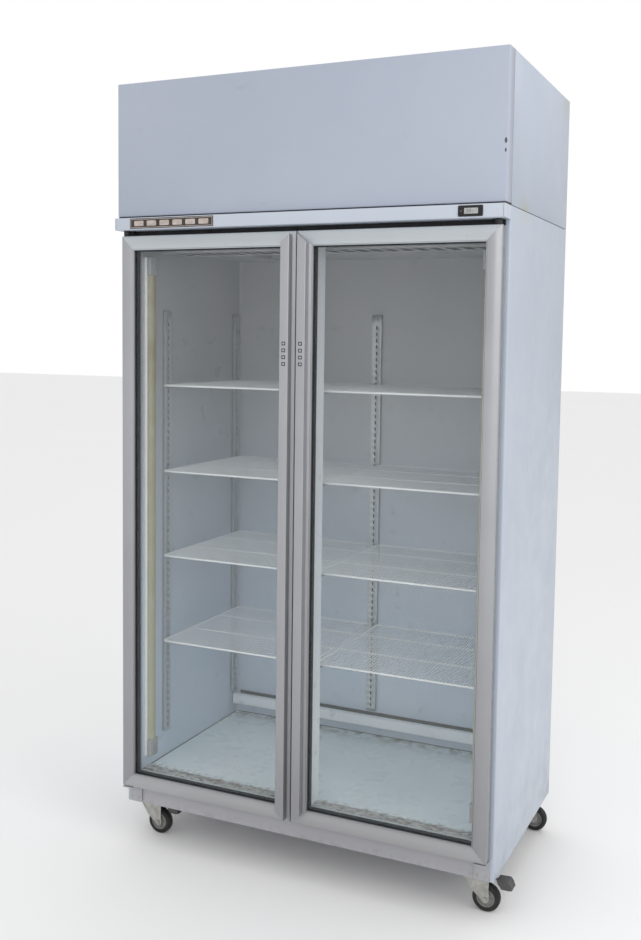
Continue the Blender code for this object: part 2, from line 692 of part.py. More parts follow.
def add_evaporator():
    """An insulated box over the roof's air ducts, holding the evaporator's coil and its fan."""
    base = ROOF + GAP
    low, high, wall = (-0.470, 0.070, base), (-0.070, 0.500, 2.030), 0.022
    housing = add_box("evaporator_housing", low, high, "cabinet", "liner_white")
    cut(housing, box_mesh((low[0] + wall, low[1] + wall, base - 0.01),
                          (high[0] - wall, high[1] - wall, high[2] - wall)))
    fan_x, fan_y, fan_z = EVAPORATOR_FAN_PLACE
    join(housing, cylinder_mesh(0.018, (fan_x, fan_y, 0), "z", fan_z + 0.013, high[2] - wall / 2, 16))
    add_box("evaporator_coil", (-0.440, 0.210, base), (-0.100, 0.290, 2.000), "cabinet", "fin_aluminium")
    add_fan("evaporator_fan", "evaporator_fan", EVAPORATOR_FAN_PLACE, "z",
            EVAPORATOR_FAN_RADIUS, 0.022, 0.020, 5)


# Castors


def castor_places():
    for end, y in (("front", CASTOR_FRONT_Y), ("rear", CASTOR_REAR_Y)):
        for side, name in ((-1, "left"), (1, "right")):
            yield f"{end}_{name}", side * CASTOR_X, y


def add_castor(label, x, y):
    """A swivel fork with its axle, trailing towards +X, and a wheel that turns on the axle."""
    axle_x, axle_z = x + WHEEL_TRAIL, WHEEL_RADIUS
    outline = [(x - 0.036, FORK_TOP), (x - 0.035, FORK_TOP - 0.012)]
    outline += arc((axle_x, axle_z), 0.011, 200, 370, 8)
    outline += [(x + 0.032, FORK_TOP - 0.010), (x + 0.030, FORK_TOP)]
    fork_mesh = prism_mesh(outline, "y", y - FORK_HALF_WIDTH, y + FORK_HALF_WIDTH)
    fork = add_object(f"castor_fork_{label}", fork_mesh, f"castor_{label}", "zinc")
    slot = FORK_SLOT_HALF_WIDTH
    cut(fork, box_mesh((x - 0.05, y - slot, 0.0), (x + 0.06, y + slot, FORK_TOP - 0.003)))
    join(fork, cylinder_mesh(AXLE_RADIUS, (axle_x, 0, axle_z), "y", y - 0.0195, y + 0.0195, 12))
    join(fork, cylinder_mesh(0.019, (x, y, 0), "z", FORK_TOP - 0.001, UNDERSIDE - CASTOR_PLATE - GAP, 20))
    bore, tread = AXLE_RADIUS + RUNNING_CLEARANCE, WHEEL_WIDTH / 2
    profile = [(bore, -tread), (0.012, -tread), (0.013, -tread + 0.002), (0.023, -tread + 0.002)]
    profile += [(0.0245, -tread), (WHEEL_RADIUS - 0.004, -tread), (WHEEL_RADIUS, -tread + 0.005)]
    profile += [(radius, -height) for radius, height in reversed(profile)]
    mesh = turned_mesh(profile, (axle_x, y, axle_z), "y", 32)
    add_object(f"castor_wheel_{label}", mesh, f"wheel_{label}", "black_rubber")


def add_brake_pedal(label, x, y):
    """A lever on the fork of a front castor. Pressing its wide pad down locks the wheel."""
    pivot_x, pivot_z = x + PEDAL_PIVOT[0], PEDAL_PIVOT[1]
    lever = [(pivot_x - 0.016, pivot_z - 0.005), (pivot_x + 0.024, pivot_z + 0.001)]
    lever += [(pivot_x + 0.024, pivot_z + 0.007), (pivot_x - 0.016, pivot_z + 0.004)]
    body = f"pedal_{label}"
    lever_mesh = prism_mesh(lever, "y", y - 0.008, y + 0.008)
    pedal = add_object(f"brake_pedal_{label}", lever_mesh, body, "grey_plastic")
    tip = x + PEDAL_REACH
    pad = [(pivot_x + 0.015, pivot_z + 0.0125), (tip - 0.011, pivot_z + 0.0145), (tip, pivot_z - 0.010)]
    pad += [(tip - 0.029, pivot_z - 0.0155)]
    join(pedal, prism_mesh(pad, "y", y - 0.018, y + 0.018))


def main():
    clear_scene()
    make_materials()
    add_parent("cabinet", SHIFT)
    for side, name in ((-1, "left"), (1, "right")):
        add_parent(f"{name}_door", (hinge_x(side), HINGE_Y, DOOR_BOTTOM), "cabinet")
    add_parent("condenser_fan", (FAN_X, CONDENSER_FAN_Y, FAN_Z), "cabinet")
    add_parent("evaporator_fan", EVAPORATOR_FAN_PLACE, "cabinet")
    add_outer_shell()
    add_base_frame()
    add_insulated_panels()
    add_mullion()
    add_header()
    add_trim_strip()
    add_hinge_brackets()
    add_door(-1, "left")
    add_door(1, "right")
    add_pilasters()
    add_shelves()
    add_rear_guard_rail()
    add_lamps()
    add_condensing_unit()
    add_evaporator()
    add_pipe_and_control_box()
    for label, x, y in castor_places():
        add_parent(f"castor_{label}", (x, y, FORK_TOP), "cabinet")
        add_parent(f"wheel_{label}", (x + WHEEL_TRAIL, y, WHEEL_RADIUS), f"castor_{label}")
        add_castor(label, x, y)
        if label.startswith("front"):
            add_parent(f"pedal_{label}", (x + PEDAL_PIVOT[0], y, PEDAL_PIVOT[1]), f"castor_{label}")
            add_brake_pedal(label, x, y)


main()
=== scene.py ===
"""The look of the glass door merchandiser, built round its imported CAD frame.

Lengths are in metres. Every piece is laid out in the cabinet's own frame, as part.py has it: X = 0 on the
centre line, Y = 0 at the front edge of the side panels and Z = 0 on the floor. ORIGIN moves it to the row's.
"""

import math

import bmesh
import bpy
from mathutils import Matrix, Vector


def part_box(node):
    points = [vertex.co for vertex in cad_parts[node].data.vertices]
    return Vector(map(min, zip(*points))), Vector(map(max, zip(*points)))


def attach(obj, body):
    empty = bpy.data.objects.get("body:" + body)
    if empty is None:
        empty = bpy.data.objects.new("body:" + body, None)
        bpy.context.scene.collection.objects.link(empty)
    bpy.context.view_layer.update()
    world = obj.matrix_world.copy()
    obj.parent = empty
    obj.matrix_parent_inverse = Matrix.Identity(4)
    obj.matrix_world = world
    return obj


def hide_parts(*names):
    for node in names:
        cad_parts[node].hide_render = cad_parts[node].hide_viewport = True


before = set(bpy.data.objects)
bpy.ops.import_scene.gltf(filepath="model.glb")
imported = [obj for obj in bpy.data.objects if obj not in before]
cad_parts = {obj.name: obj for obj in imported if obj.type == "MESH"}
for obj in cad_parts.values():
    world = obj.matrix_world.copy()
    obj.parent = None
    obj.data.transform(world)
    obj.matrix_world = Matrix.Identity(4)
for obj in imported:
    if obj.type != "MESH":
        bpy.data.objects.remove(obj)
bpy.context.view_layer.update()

SHELL_LOW, SHELL_HIGH = (Vector(corner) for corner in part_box("outer_shell"))
ORIGIN = Vector(((SHELL_LOW.x + SHELL_HIGH.x) / 2, SHELL_LOW.y, 0.0))
HALF = (SHELL_HIGH.x - SHELL_LOW.x) / 2
REAR_INSET = 0.0006
DEPTH = SHELL_HIGH.y - SHELL_LOW.y - REAR_INSET
SIDES = ((-1, "left"), (1, "right"))
SHELF_LEVELS = range(1, 5)


def local_box(node):
    """A CAD node's (low, high) corners in the cabinet's own frame."""
    return tuple(Vector(corner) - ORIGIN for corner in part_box(node))


# The doors: where their edges, faces and panes are, their frame bars' widths, and their hinge pins

DOOR_BOTTOM, DOOR_TOP = 0.172, 1.778
DOOR_FRONT, DOOR_BACK = -0.042, -0.0085
DOOR_X, INNER_EDGE = HALF - 0.010, 0.0015
PANE_FRONT, PANE_BACK, PANE = -0.0302, -0.0088, 0.004
RAIL, MEETING, REBATE, CHANNEL = 0.040, 0.046, 0.010, 0.003
HINGE_X, HINGE_Y, PIN_RADIUS = HALF - 0.022, -0.030, 0.004


# Materials


def add_node(tree, kind, values=None, links=None, **settings):
    node = tree.nodes.new(kind)
    for key, value in settings.items():
        setattr(node, key, value)
    for key, value in (values or {}).items():
        node.inputs[key].default_value = value
    for key, socket in (links or {}).items():
        tree.links.new(socket, node.inputs[key])
    return node


def new_material(name, roughness, metallic=0.0, **sockets):
    material = bpy.data.materials.new(name)
    material.use_nodes = True
    shader = material.node_tree.nodes["Principled BSDF"]
    shader.inputs["Roughness"].default_value = roughness
    shader.inputs["Metallic"].default_value = metallic
    for key, value in sockets.items():
        shader.inputs[key.replace("_", " ")].default_value = value
    return material, material.node_tree, shader


def object_place(tree):
    return add_node(tree, "ShaderNodeTexCoord").outputs["Object"]


def coordinates(tree, stretch=(1, 1, 1)):
    links = {"Vector": object_place(tree)}
    return add_node(tree, "ShaderNodeMapping", {"Scale": stretch}, links).outputs["Vector"]


def noise(tree, scale, detail=3.0, stretch=(1, 1, 1), distortion=0.0):
    values = {"Scale": scale, "Detail": detail, "Distortion": distortion}
    return add_node(tree, "ShaderNodeTexNoise", values, {"Vector": coordinates(tree, stretch)}).outputs["Fac"]


def remap(tree, value, low, high, to_low=0.0, to_high=1.0):
    """The value from low to high, taken to to_low to to_high and held there outside."""
    values = {"From Min": low, "From Max": high, "To Min": to_low, "To Max": to_high}
    return add_node(tree, "ShaderNodeMapRange", values, {"Value": value}).outputs["Result"]


def patches(tree, scale, detail, low, high, most=1.0, stretch=(1, 1, 1), distortion=0.0):
    """Noise that stays 0 up to low and rises to most at high."""
    return remap(tree, noise(tree, scale, detail, stretch, distortion), low, high, 0.0, most)


def multiply(tree, first, second):
    return add_node(tree, "ShaderNodeMath", None, {0: first, 1: second}, operation="MULTIPLY").outputs[0]


def mix_colour(tree, amount, first, second):
    """Mixes from first to second by amount. Either is a colour or a socket."""
    node = add_node(tree, "ShaderNodeMix", None, {"Factor": amount}, data_type="RGBA")
    for socket, colour in ((node.inputs[6], first), (node.inputs[7], second)):
        if isinstance(colour, bpy.types.NodeSocket):
            tree.links.new(colour, socket)
        else:
            socket.default_value = (*colour, 1.0)
    return node.outputs[2]


def near_point(tree, place, radius, stretch=(1, 1, 1)):
    """1 at a place in the cabinet's frame, falling to 0 a radius away, measured with the stretch."""

    def vector_math(operation, first, values=None):
        return add_node(tree, "ShaderNodeVectorMath", values, {0: first}, operation=operation)

    offset = vector_math("SUBTRACT", object_place(tree), {1: Vector(place) + ORIGIN}).outputs[0]
    scaled = vector_math("MULTIPLY", offset, {1: stretch}).outputs[0]
    return remap(tree, vector_math("LENGTH", scaled).outputs["Value"], radius, 0.0)


def along(tree, axis, low, high):
    """0 to 1 between two places on an axis of the cabinet's frame."""
    split = add_node(tree, "ShaderNodeSeparateXYZ", None, {"Vector": object_place(tree)})
    shift = ORIGIN["XYZ".index(axis)]
    return remap(tree, split.outputs[axis], low + shift, high + shift)


def set_bump(tree, shader, height, distance, strength=0.5, under=None):
    values = {"Strength": strength, "Distance": distance}
    links = {"Height": height}
    if under is not None:
        links["Normal"] = under
    bump = add_node(tree, "ShaderNodeBump", values, links)
    tree.links.new(bump.outputs["Normal"], shader.inputs["Normal"])
    return bump.outputs["Normal"]


def set_roughness(tree, shader, value, low, high):
    tree.links.new(remap(tree, value, 0.3, 0.7, low, high), shader.inputs["Roughness"])


def set_colour(tree, shader, colour):
    tree.links.new(colour, shader.inputs["Base Color"])


def finish_surface(tree, shader, colour, gloss, relief):
    """Sets the colour, a gloss (scale, detail, low, high) and a relief (scale, detail, depth, strength)."""
    set_colour(tree, shader, colour)
    set_roughness(tree, shader, noise(tree, *gloss[:2]), *gloss[2:])
    set_bump(tree, shader, noise(tree, *relief[:2]), *relief[2:])


def make_paint(name, colour, dull, grime, dents=0.0015, marks=None):
    """Powder coat: slow colour changes, faint scuffs, orange peel, shallow dents and any marks on it."""
    material, tree, shader = new_material(name, 0.4)
    surface = mix_colour(tree, patches(tree, 2.2, 4.0, 0.35, 0.65), colour, dull)
    scuffs = patches(tree, 9.0, 6.0, 0.68, 0.80, 0.30, (1.0, 1.0, 4.0), 0.6)
    surface = mix_colour(tree, scuffs, surface, grime)
    surface = mix_colour(tree, patches(tree, 240.0, 1.0, 0.78, 0.82, 0.4), surface, grime)
    set_roughness(tree, shader, noise(tree, 14.0, 4.0), 0.28, 0.46)
    dent = set_bump(tree, shader, noise(tree, 3.0, 1.5), dents, 0.6)
    set_bump(tree, shader, noise(tree, 900.0, 1.0), 0.00005, 0.4, dent)
    if marks:
        surface = marks(tree, surface)
    set_colour(tree, shader, surface)
    return material


def header_chips(tree, surface):
    """Two small chips near the header's front right edge."""
    for z, radius in ((1.976, 0.0040), (1.953, 0.0028)):
        chip = near_point(tree, (HALF - 0.006, -0.043, z), radius, (1.0, 1.0, 0.5))
        surface = mix_colour(tree, remap(tree, chip, 0.0, 0.35), surface, (0.06, 0.06, 0.08))
    return surface


def side_stains(tree, surface):
    """Two yellowish stains on the right side, and grime along the sides' lower edges."""
    for place, radius in (((HALF, 0.130, 1.832), 0.075), ((HALF, 0.570, 2.172), 0.060)):
        stain = near_point(tree, place, radius, (1.0, 1.0, 1.6))
        stain = multiply(tree, stain, patches(tree, 40.0, 5.0, 0.35, 0.7, 0.8))
        surface = mix_colour(tree, stain, surface, (0.50, 0.47, 0.33))
    low = multiply(tree, along(tree, "Z", 0.30, 0.11), patches(tree, 18.0, 6.0, 0.5, 0.72, 0.5))
    return mix_colour(tree, low, surface, (0.30, 0.29, 0.27))


def base_grime(tree, surface):
    """Dust and chips towards the plinth's lower edge."""
    low = multiply(tree, along(tree, "Z", 0.135, 0.108), patches(tree, 60.0, 5.0, 0.46, 0.62, 0.4))
    return mix_colour(tree, low, surface, (0.24, 0.22, 0.20))


def anodised(name, colour, low_shading_colour, grain=(1.0, 1.0, 0.02)):
    """Satin aluminium: a fine grain along each bar, dull patches, and a darker colour towards the floor as
    painted shade.
    """
    material, tree, shader = new_material(name, 0.4, 0.55)
    dull, mark = (tuple(share * value for value in colour) for share in (0.92, 0.55))
    surface = mix_colour(tree, patches(tree, 5.0, 4.0, 0.35, 0.7), colour, dull)
    uneven = remap(tree, noise(tree, 1.5, 2.0), 0.2, 0.6, 0.7, 1.0)
    # painted shade: the colour darkens unevenly towards the floor
    surface = mix_colour(tree, multiply(tree, along(tree, "Z", 1.3, 0.2), uneven), surface, low_shading_colour)
    surface = mix_colour(tree, patches(tree, 70.0, 5.0, 0.70, 0.78, 0.4), surface, mark)
    set_colour(tree, shader, surface)
    streaks = noise(tree, 900.0, 2.0, grain)
    set_roughness(tree, shader, streaks, 0.34, 0.46)
    set_bump(tree, shader, streaks, 0.00004, 0.35)
    return material


def glass():
    """Clear pane: mostly see-through, with a mirror-like share, faint smears and a green cast."""
    material, tree, shader = new_material("pane_glass", 0.03, 0.75)
    shader.inputs["Alpha"].default_value = 0.035
    smears = patches(tree, 6.0, 5.0, 0.4, 0.7, 1.0, (1.0, 1.0, 0.6))
    set_colour(tree, shader, mix_colour(tree, smears, (0.62, 0.68, 0.68), (0.72, 0.76, 0.74)))
    set_roughness(tree, shader, noise(tree, 9.0, 5.0), 0.02, 0.06)
    return material


def simple(name, colour, other, scale, rough_low, rough_high, bump=0.0001, bump_scale=400.0, metallic=0.0):
    """A general surface: two colours mixed by noise, uneven gloss and a fine texture."""
    material, tree, shader = new_material(name, rough_low, metallic)
    surface = mix_colour(tree, patches(tree, scale, 5.0, 0.35, 0.65), colour, other)
    gloss = (scale * 3, 3.0, rough_low, rough_high)
    finish_surface(tree, shader, surface, gloss, (bump_scale, 2.0, bump, 0.5))
    return material


def liner(name, low_shading_colour, high_shading_colour):
    """The cabinet's inside skin, lightly stained, going from a lighter colour low down to a darker one high up
    as painted light and shade.
    """
    material, tree, shader = new_material(name, 0.4)
    # painted light and shade: lighter low down, darker high up
    surface = mix_colour(tree, along(tree, "Z", 0.5, 1.5), low_shading_colour, high_shading_colour)
    surface = mix_colour(tree, patches(tree, 3.0, 4.0, 0.35, 0.65, 0.12), surface, (0.30, 0.34, 0.38))
    surface = mix_colour(tree, patches(tree, 30.0, 6.0, 0.64, 0.76, 0.5), surface, (0.42, 0.42, 0.38))
    finish_surface(tree, shader, surface, (12.0, 4.0, 0.26, 0.48), (300.0, 2.0, 0.00008, 0.4))
    return material


def floor_liner():
    """The cabinet's floor: worn, with grime gathered towards its front edge, and grime with painted shade
    under the guard rail towards its back edge.
    """
    material, tree, shader = new_material("floor_liner", 0.35)
    surface = mix_colour(tree, patches(tree, 4.0, 6.0, 0.35, 0.65), (0.88, 0.98, 1.00), (0.80, 0.90, 0.94))
    scratches = patches(tree, 34.0, 6.0, 0.62, 0.74, 0.25, (1.0, 0.25, 1.0), 1.2)
    surface = mix_colour(tree, scratches, surface, (0.44, 0.50, 0.50))
    front = multiply(tree, along(tree, "Y", 0.062, 0.040), patches(tree, 70.0, 6.0, 0.46, 0.62, 0.7))
    front = multiply(tree, front, along(tree, "Y", 0.003, 0.010))
    surface = mix_colour(tree, front, surface, (0.26, 0.24, 0.20))
    # grime and painted shade: darker towards the back, under the guard rail
    back = multiply(tree, along(tree, "Y", 0.50, 0.56), patches(tree, 30.0, 6.0, 0.42, 0.60))
    surface = mix_colour(tree, back, surface, (0.30, 0.29, 0.25))
    finish_surface(tree, shader, surface, (16.0, 5.0, 0.18, 0.42), (120.0, 3.0, 0.0001, 0.4))
    return material


def sill_grime():
    """The threshold behind the doors, grey and patchy with old dirt."""
    material, tree, shader = new_material("sill_grime", 0.6)
    dirt = patches(tree, 95.0, 7.0, 0.44, 0.62, 1.0, (0.6, 1.0, 1.0))
    surface = mix_colour(tree, dirt, (0.50, 0.52, 0.51), (0.20, 0.18, 0.16))
    finish_surface(tree, shader, surface, (30.0, 4.0, 0.4, 0.8), (260.0, 4.0, 0.0004, 0.5))
    return material


def lamp_diffuser():
    """Yellowed plastic, browner towards the top."""
    material, tree, shader = new_material("lamp_diffuser", 0.45)
    surface = mix_colour(tree, along(tree, "Z", 0.3, 1.7), (0.44, 0.46, 0.31), (0.32, 0.28, 0.18))
    surface = mix_colour(tree, patches(tree, 12.0, 5.0, 0.4, 0.7, 0.6), surface, (0.50, 0.51, 0.40))
    finish_surface(tree, shader, surface, (20.0, 3.0, 0.35, 0.55), (500.0, 1.0, 0.00005, 0.3))
    return material


def coil_fins():
    """Edges of closely packed fins: fine upright lines, dark between the fins as painted shade, with bent
    patches.
    """
    material, tree, shader = new_material("coil_fins", 0.5, 0.6)
    values = {"Scale": 160.0, "Distortion": 0.4, "Detail": 1.0}
    wave = add_node(tree, "ShaderNodeTexWave", values, {"Vector": coordinates(tree)}, bands_direction="X")
    lines = wave.outputs["Fac"]
    bent = multiply(tree, patches(tree, 25.0, 3.0, 0.45, 0.7), lines)
    # painted shade: the dark lines stand for the gaps between the fins
    surface = mix_colour(tree, lines, (0.10, 0.10, 0.11), (0.55, 0.57, 0.58))
    set_colour(tree, shader, mix_colour(tree, bent, surface, (0.34, 0.33, 0.30)))
    set_roughness(tree, shader, noise(tree, 30.0, 3.0), 0.35, 0.6)
    set_bump(tree, shader, lines, 0.001, 0.6)
    return material


SIMPLE_SURFACES = {
    # black seals, also used as painted shade in gaps
    "seal": ("black_seal_and_gap_shade", (0.012, 0.012, 0.013), (0.02, 0.02, 0.022), 40, 0.5, 0.7, 0.0002, 700),
    "gasket": ("pale_gasket", (0.46, 0.48, 0.50), (0.38, 0.39, 0.40), 14, 0.55, 0.75, 0.0002, 500),
    "wire": ("coated_wire", (0.95, 0.98, 1.00), (0.90, 0.93, 0.95), 30, 0.3, 0.45, 0.00005, 600),
    "zinc": ("dull_zinc", (0.50, 0.50, 0.48), (0.36, 0.35, 0.32), 60, 0.35, 0.55, 0.0001, 500, 0.85),
    "rubber": ("tread_rubber", (0.010, 0.010, 0.011), (0.022, 0.022, 0.021), 50, 0.6, 0.85, 0.0003, 500),
    "hub": ("hub_plastic", (0.26, 0.26, 0.25), (0.18, 0.18, 0.17), 50, 0.45, 0.6, 0.0001, 500),
    "plastic": ("grey_plastic", (0.05, 0.05, 0.05), (0.08, 0.08, 0.08), 20, 0.4, 0.6, 0.0001, 900),
    "plastic_pale": ("pale_plastic", (0.42, 0.43, 0.44), (0.34, 0.35, 0.36), 30, 0.4, 0.6),
    "enamel": ("black_enamel", (0.012, 0.012, 0.013), (0.03, 0.03, 0.03), 30, 0.3, 0.5, 0.0002, 120),
    "gloss_black": ("gloss_black", (0.008, 0.008, 0.009), (0.014, 0.014, 0.015), 60, 0.12, 0.22, 2e-5, 300),
    "lcd": ("lcd_window", (0.42, 0.44, 0.43), (0.36, 0.38, 0.37), 120, 0.1, 0.2, 0.00001, 300),
    "digit": ("lcd_digit", (0.03, 0.035, 0.03), (0.05, 0.05, 0.05), 120, 0.2, 0.3, 0.00001, 300),
    "plate": ("plate_dark", (0.030, 0.022, 0.020), (0.06, 0.045, 0.04), 60, 0.3, 0.5, 0.0001, 300),
    "plate_mark": ("plate_mark", (0.56, 0.50, 0.46), (0.42, 0.35, 0.32), 90, 0.4, 0.6, 0.0001, 400),
    # dark strip that paints the shade in the doors' side channels
    "channel_shade_alloy": ("channel_shade_alloy", (0.30, 0.34, 0.37), (0.24, 0.28, 0.31), 40, 0.4, 0.6, 1e-4, 400, 0.4),
    # dark joints, also used as painted shade in gaps
    "joint": ("joint_sealant_and_shade", (0.10, 0.10, 0.09), (0.05, 0.05, 0.045), 60, 0.5, 0.8, 0.0003, 300),
    "copper": ("copper_tube", (0.60, 0.28, 0.16), (0.35, 0.16, 0.10), 40, 0.3, 0.5, 0.0001, 300, 0.9),
    "galvanised": ("galvanised", (0.52, 0.54, 0.55), (0.40, 0.41, 0.42), 35, 0.35, 0.55, 0.0001, 200, 0.8),
}


def make_materials():
    paints = {
        # one white powder coat in two shades: the header front darker and the sides lighter, as painted shade
        # and light
        "header": ((0.43, 0.47, 0.56), (0.40, 0.44, 0.53), (0.30, 0.32, 0.38), 0.0015, header_chips),
        "side": ((0.49, 0.54, 0.62), (0.45, 0.50, 0.58), (0.34, 0.35, 0.38), 0.003, side_stains),
        "strip": ((0.55, 0.60, 0.68), (0.51, 0.56, 0.64), (0.34, 0.34, 0.36)),
        "base": ((0.42, 0.42, 0.45), (0.38, 0.38, 0.41), (0.22, 0.21, 0.21), 0.0015, base_grime),
    }
    materials = {key: make_paint(f"{key}_paint", *row) for key, row in paints.items()}
    materials |= {
        "anodised": anodised("anodised", (0.46, 0.465, 0.49), (0.30, 0.30, 0.315)),
        # the rails' anodising is a lighter copy of the stiles', as painted light
        "anodised_rail_painted_lighter": anodised("anodised_rail_painted_lighter", (0.56, 0.60, 0.63), (0.39, 0.39, 0.40), (0.02, 1.0, 1.0)),
        "pilaster": anodised("pilaster_metal", (0.62, 0.65, 0.68), (0.56, 0.60, 0.62)),
        "glass": glass(),
        "liner": liner("liner", (0.66, 0.75, 0.86), (0.50, 0.51, 0.53)),
        # a lighter copy of the liner paint, as painted light where the mullion and guard rail sit in shade
        # behind the glass
        "mullion": liner("lightened_mullion_paint", (0.92, 0.97, 1.00), (0.88, 0.93, 0.98)),
        "floor": floor_liner(),
        "sill": sill_grime(),
        "lamp": lamp_diffuser(),
        "fins": coil_fins(),
    }
    return materials | {key: simple(*row) for key, row in SIMPLE_SURFACES.items()}


# Mesh tools


def add_box(bm, first, last):
    """A box between two opposite corners, given in any order."""
    xs, ys, zs = (sorted(pair) for pair in zip(first, last))
    verts = [bm.verts.new((x, y, z)) for z in zs for y in ys for x in xs]
    for face in ((0, 2, 3, 1), (4, 5, 7, 6), (0, 1, 5, 4), (2, 6, 7, 3), (0, 4, 6, 2), (1, 3, 7, 5)):
        bm.faces.new([verts[i] for i in face])
    return verts


def join_loops(bm, loops, capped=True):
    """Faces from each ring of vertices to the next, and over the first and last if capped."""
    for here, there in zip(loops, loops[1:]):
        for i in range(len(here)):
            j = (i + 1) % len(here)
            bm.faces.new((here[i], here[j], there[j], there[i]))
    if capped:
        bm.faces.new(list(reversed(loops[0])))
        bm.faces.new(loops[-1])


def add_prism(bm, outline, axis, start, end):
    """The outline, in the two axes other than the given one and in X, Y, Z order, drawn out along it."""
    index = "xyz".index(axis)
    loops = []
    for distance in (start, end):
        points = [(*pair[:index], distance, *pair[index:]) for pair in outline]
        loops.append([bm.verts.new(point) for point in points])
    join_loops(bm, loops)


def arc(centre, radius, start_deg, end_deg, steps):
    points = []
    for i in range(steps + 1):
        angle = math.radians(start_deg + (end_deg - start_deg) * i / steps)
        points.append((centre[0] + radius * math.cos(angle), centre[1] + radius * math.sin(angle)))
    return points


def rounded_rectangle(low, high, radius, steps=4):
    """The outline of a rectangle with rounded corners, from its (low, low) and (high, high) corners."""
    points = []
    corners = ((high[0] - radius, high[1] - radius, 0), (low[0] + radius, high[1] - radius, 90),
               (low[0] + radius, low[1] + radius, 180), (high[0] - radius, low[1] + radius, 270))
    for x, y, start in corners:
        points += arc((x, y), radius, start, start + 90, steps)
    return points


def add_rounded_box(bm, first, last, axis, radius, steps=4):
    """A box between two opposite corners, with the four edges along the axis rounded."""
    index = "xyz".index(axis)
    low, high = zip(*(sorted(pair) for pair in zip(first, last)))
    flat_low, flat_high = ([*corner[:index], *corner[index + 1:]] for corner in (low, high))
    add_prism(bm, rounded_rectangle(flat_low, flat_high, radius, steps), axis, low[index], high[index])


def turns(count, start_deg=0.0):
    """The (cosine, sine) of evenly spaced angles round a circle."""
    angles = [math.radians(start_deg) + 2 * math.pi * i / count for i in range(count)]
    return [(math.cos(angle), math.sin(angle)) for angle in angles]


def add_turned(bm, profile, place, axis="z", sides=24):
    """A profile of (radius, height) points turned about an axis through the place. It closes on itself."""
    turn = {"z": Matrix.Identity(3), "y": Matrix.Rotation(math.radians(-90), 3, "X"),
            "x": Matrix.Rotation(math.radians(90), 3, "Y")}[axis]
    rings = []
    for c, s in turns(sides):
        points = [turn @ Vector((radius * c, radius * s, height)) for radius, height in profile]
        rings.append([bm.verts.new(point + Vector(place)) for point in points])
    join_loops(bm, rings + [rings[0]], capped=False)
    bmesh.ops.remove_doubles(bm, verts=[vert for ring in rings for vert in ring], dist=1e-6)


def add_cylinder(bm, place, radius, height, axis="z", sides=20, edge=0.0):
    """A round bar from the place along the axis, with its two rims rounded by edge."""
    profile = [(0.0, 0.0), (radius, 0.0), (radius, height), (0.0, height)]
    if edge:
        inner, upper = radius - edge, height - edge
        profile[1:3] = [(inner, 0.0), (radius, edge), (radius, upper), (inner, height)]
    add_turned(bm, profile, place, axis, sides)


def add_tube(bm, path, radius, sides=8):
    """A round tube's outside along a path of points, with flat ends."""
    points = [Vector(point) for point in path]
    first = points[1] - points[0]
    guide = Vector((0, 0, 1)) if abs(first.normalized().z) < 0.9 else Vector((1, 0, 0))
    side = guide.cross(first).normalized()
    rings = []
    for i, point in enumerate(points):
        ahead = points[min(i + 1, len(points) - 1)] - points[max(i - 1, 0)]
        side = (side - side.project(ahead)).normalized()
        other = ahead.normalized().cross(side)
        rings.append([bm.verts.new(point + radius * (side * c + other * s)) for c, s in turns(sides)])
    join_loops(bm, rings)


def add_rod(bm, start, end, radius, sides=8):
    """A straight round bar."""
    start, end = Vector(start), Vector(end)
    add_tube(bm, [start, (start + end) / 2, end], radius, sides)


def rounded_path(corners, radius, steps=5):
    """The corners joined by straight runs, each inner corner rounded."""
    points = [Vector(corners[0])]
    for before, corner, after in zip(corners, corners[1:], corners[2:]):
        corner = Vector(corner)
        start = corner + (Vector(before) - corner).normalized() * radius
        end = corner + (Vector(after) - corner).normalized() * radius
        for i in range(steps + 1):
            t = i / steps
            points.append(start * (1 - t) ** 2 + corner * 2 * t * (1 - t) + end * t ** 2)
    return points + [Vector(corners[-1])]


def add_screw(bm, place, axis, radius=0.004):
    """A low domed head, facing along the axis: -1 or 1 times x, y or z."""
    sign, letter = axis
    height, sunk = 0.0018, 0.0004
    dome = [(radius * math.cos(math.radians(angle)), height * math.sin(math.radians(angle)))
            for angle in (0.0, 22.5, 45.0, 67.5, 90.0)]
    profile = [(r, sign * h) for r, h in [(0.0, -sunk), (radius, -sunk)] + dome]
    add_turned(bm, profile, place, letter, 14)


def add_screws(name, places, axis, radius=0.004):
    bm = bmesh.new()
    for place in places:
        add_screw(bm, place, axis, radius)
    add_piece(name, bm, "zinc")


def mitred_bar(bm, profile, place_at, start, end, start_slope=1.0, end_slope=1.0, gap=0.0003):
    """Draws a profile of (s, y) from start to end, its ends cut back by slope times s."""
    first = [bm.verts.new(place_at(s, y, start + gap / 2 + s * start_slope)) for s, y in profile]
    last = [bm.verts.new(place_at(s, y, end - gap / 2 - s * end_slope)) for s, y in profile]
    join_loops(bm, [first, last])


def ring_bars(bm, low, high, profile):
    """Four bars mitred into a ring in the XZ plane. The profile is (distance in from the ring's edge, y)."""
    for edge, way in ((low, 1), (high, -1)):
        mitred_bar(bm, profile, lambda s, y, z: (edge[0] + way * s, y, z), low[1], high[1], gap=0.0)
    for edge, way in ((low, 1), (high, -1)):
        mitred_bar(bm, profile, lambda s, y, x: (x, y, edge[1] + way * s), low[0], high[0], gap=0.0)


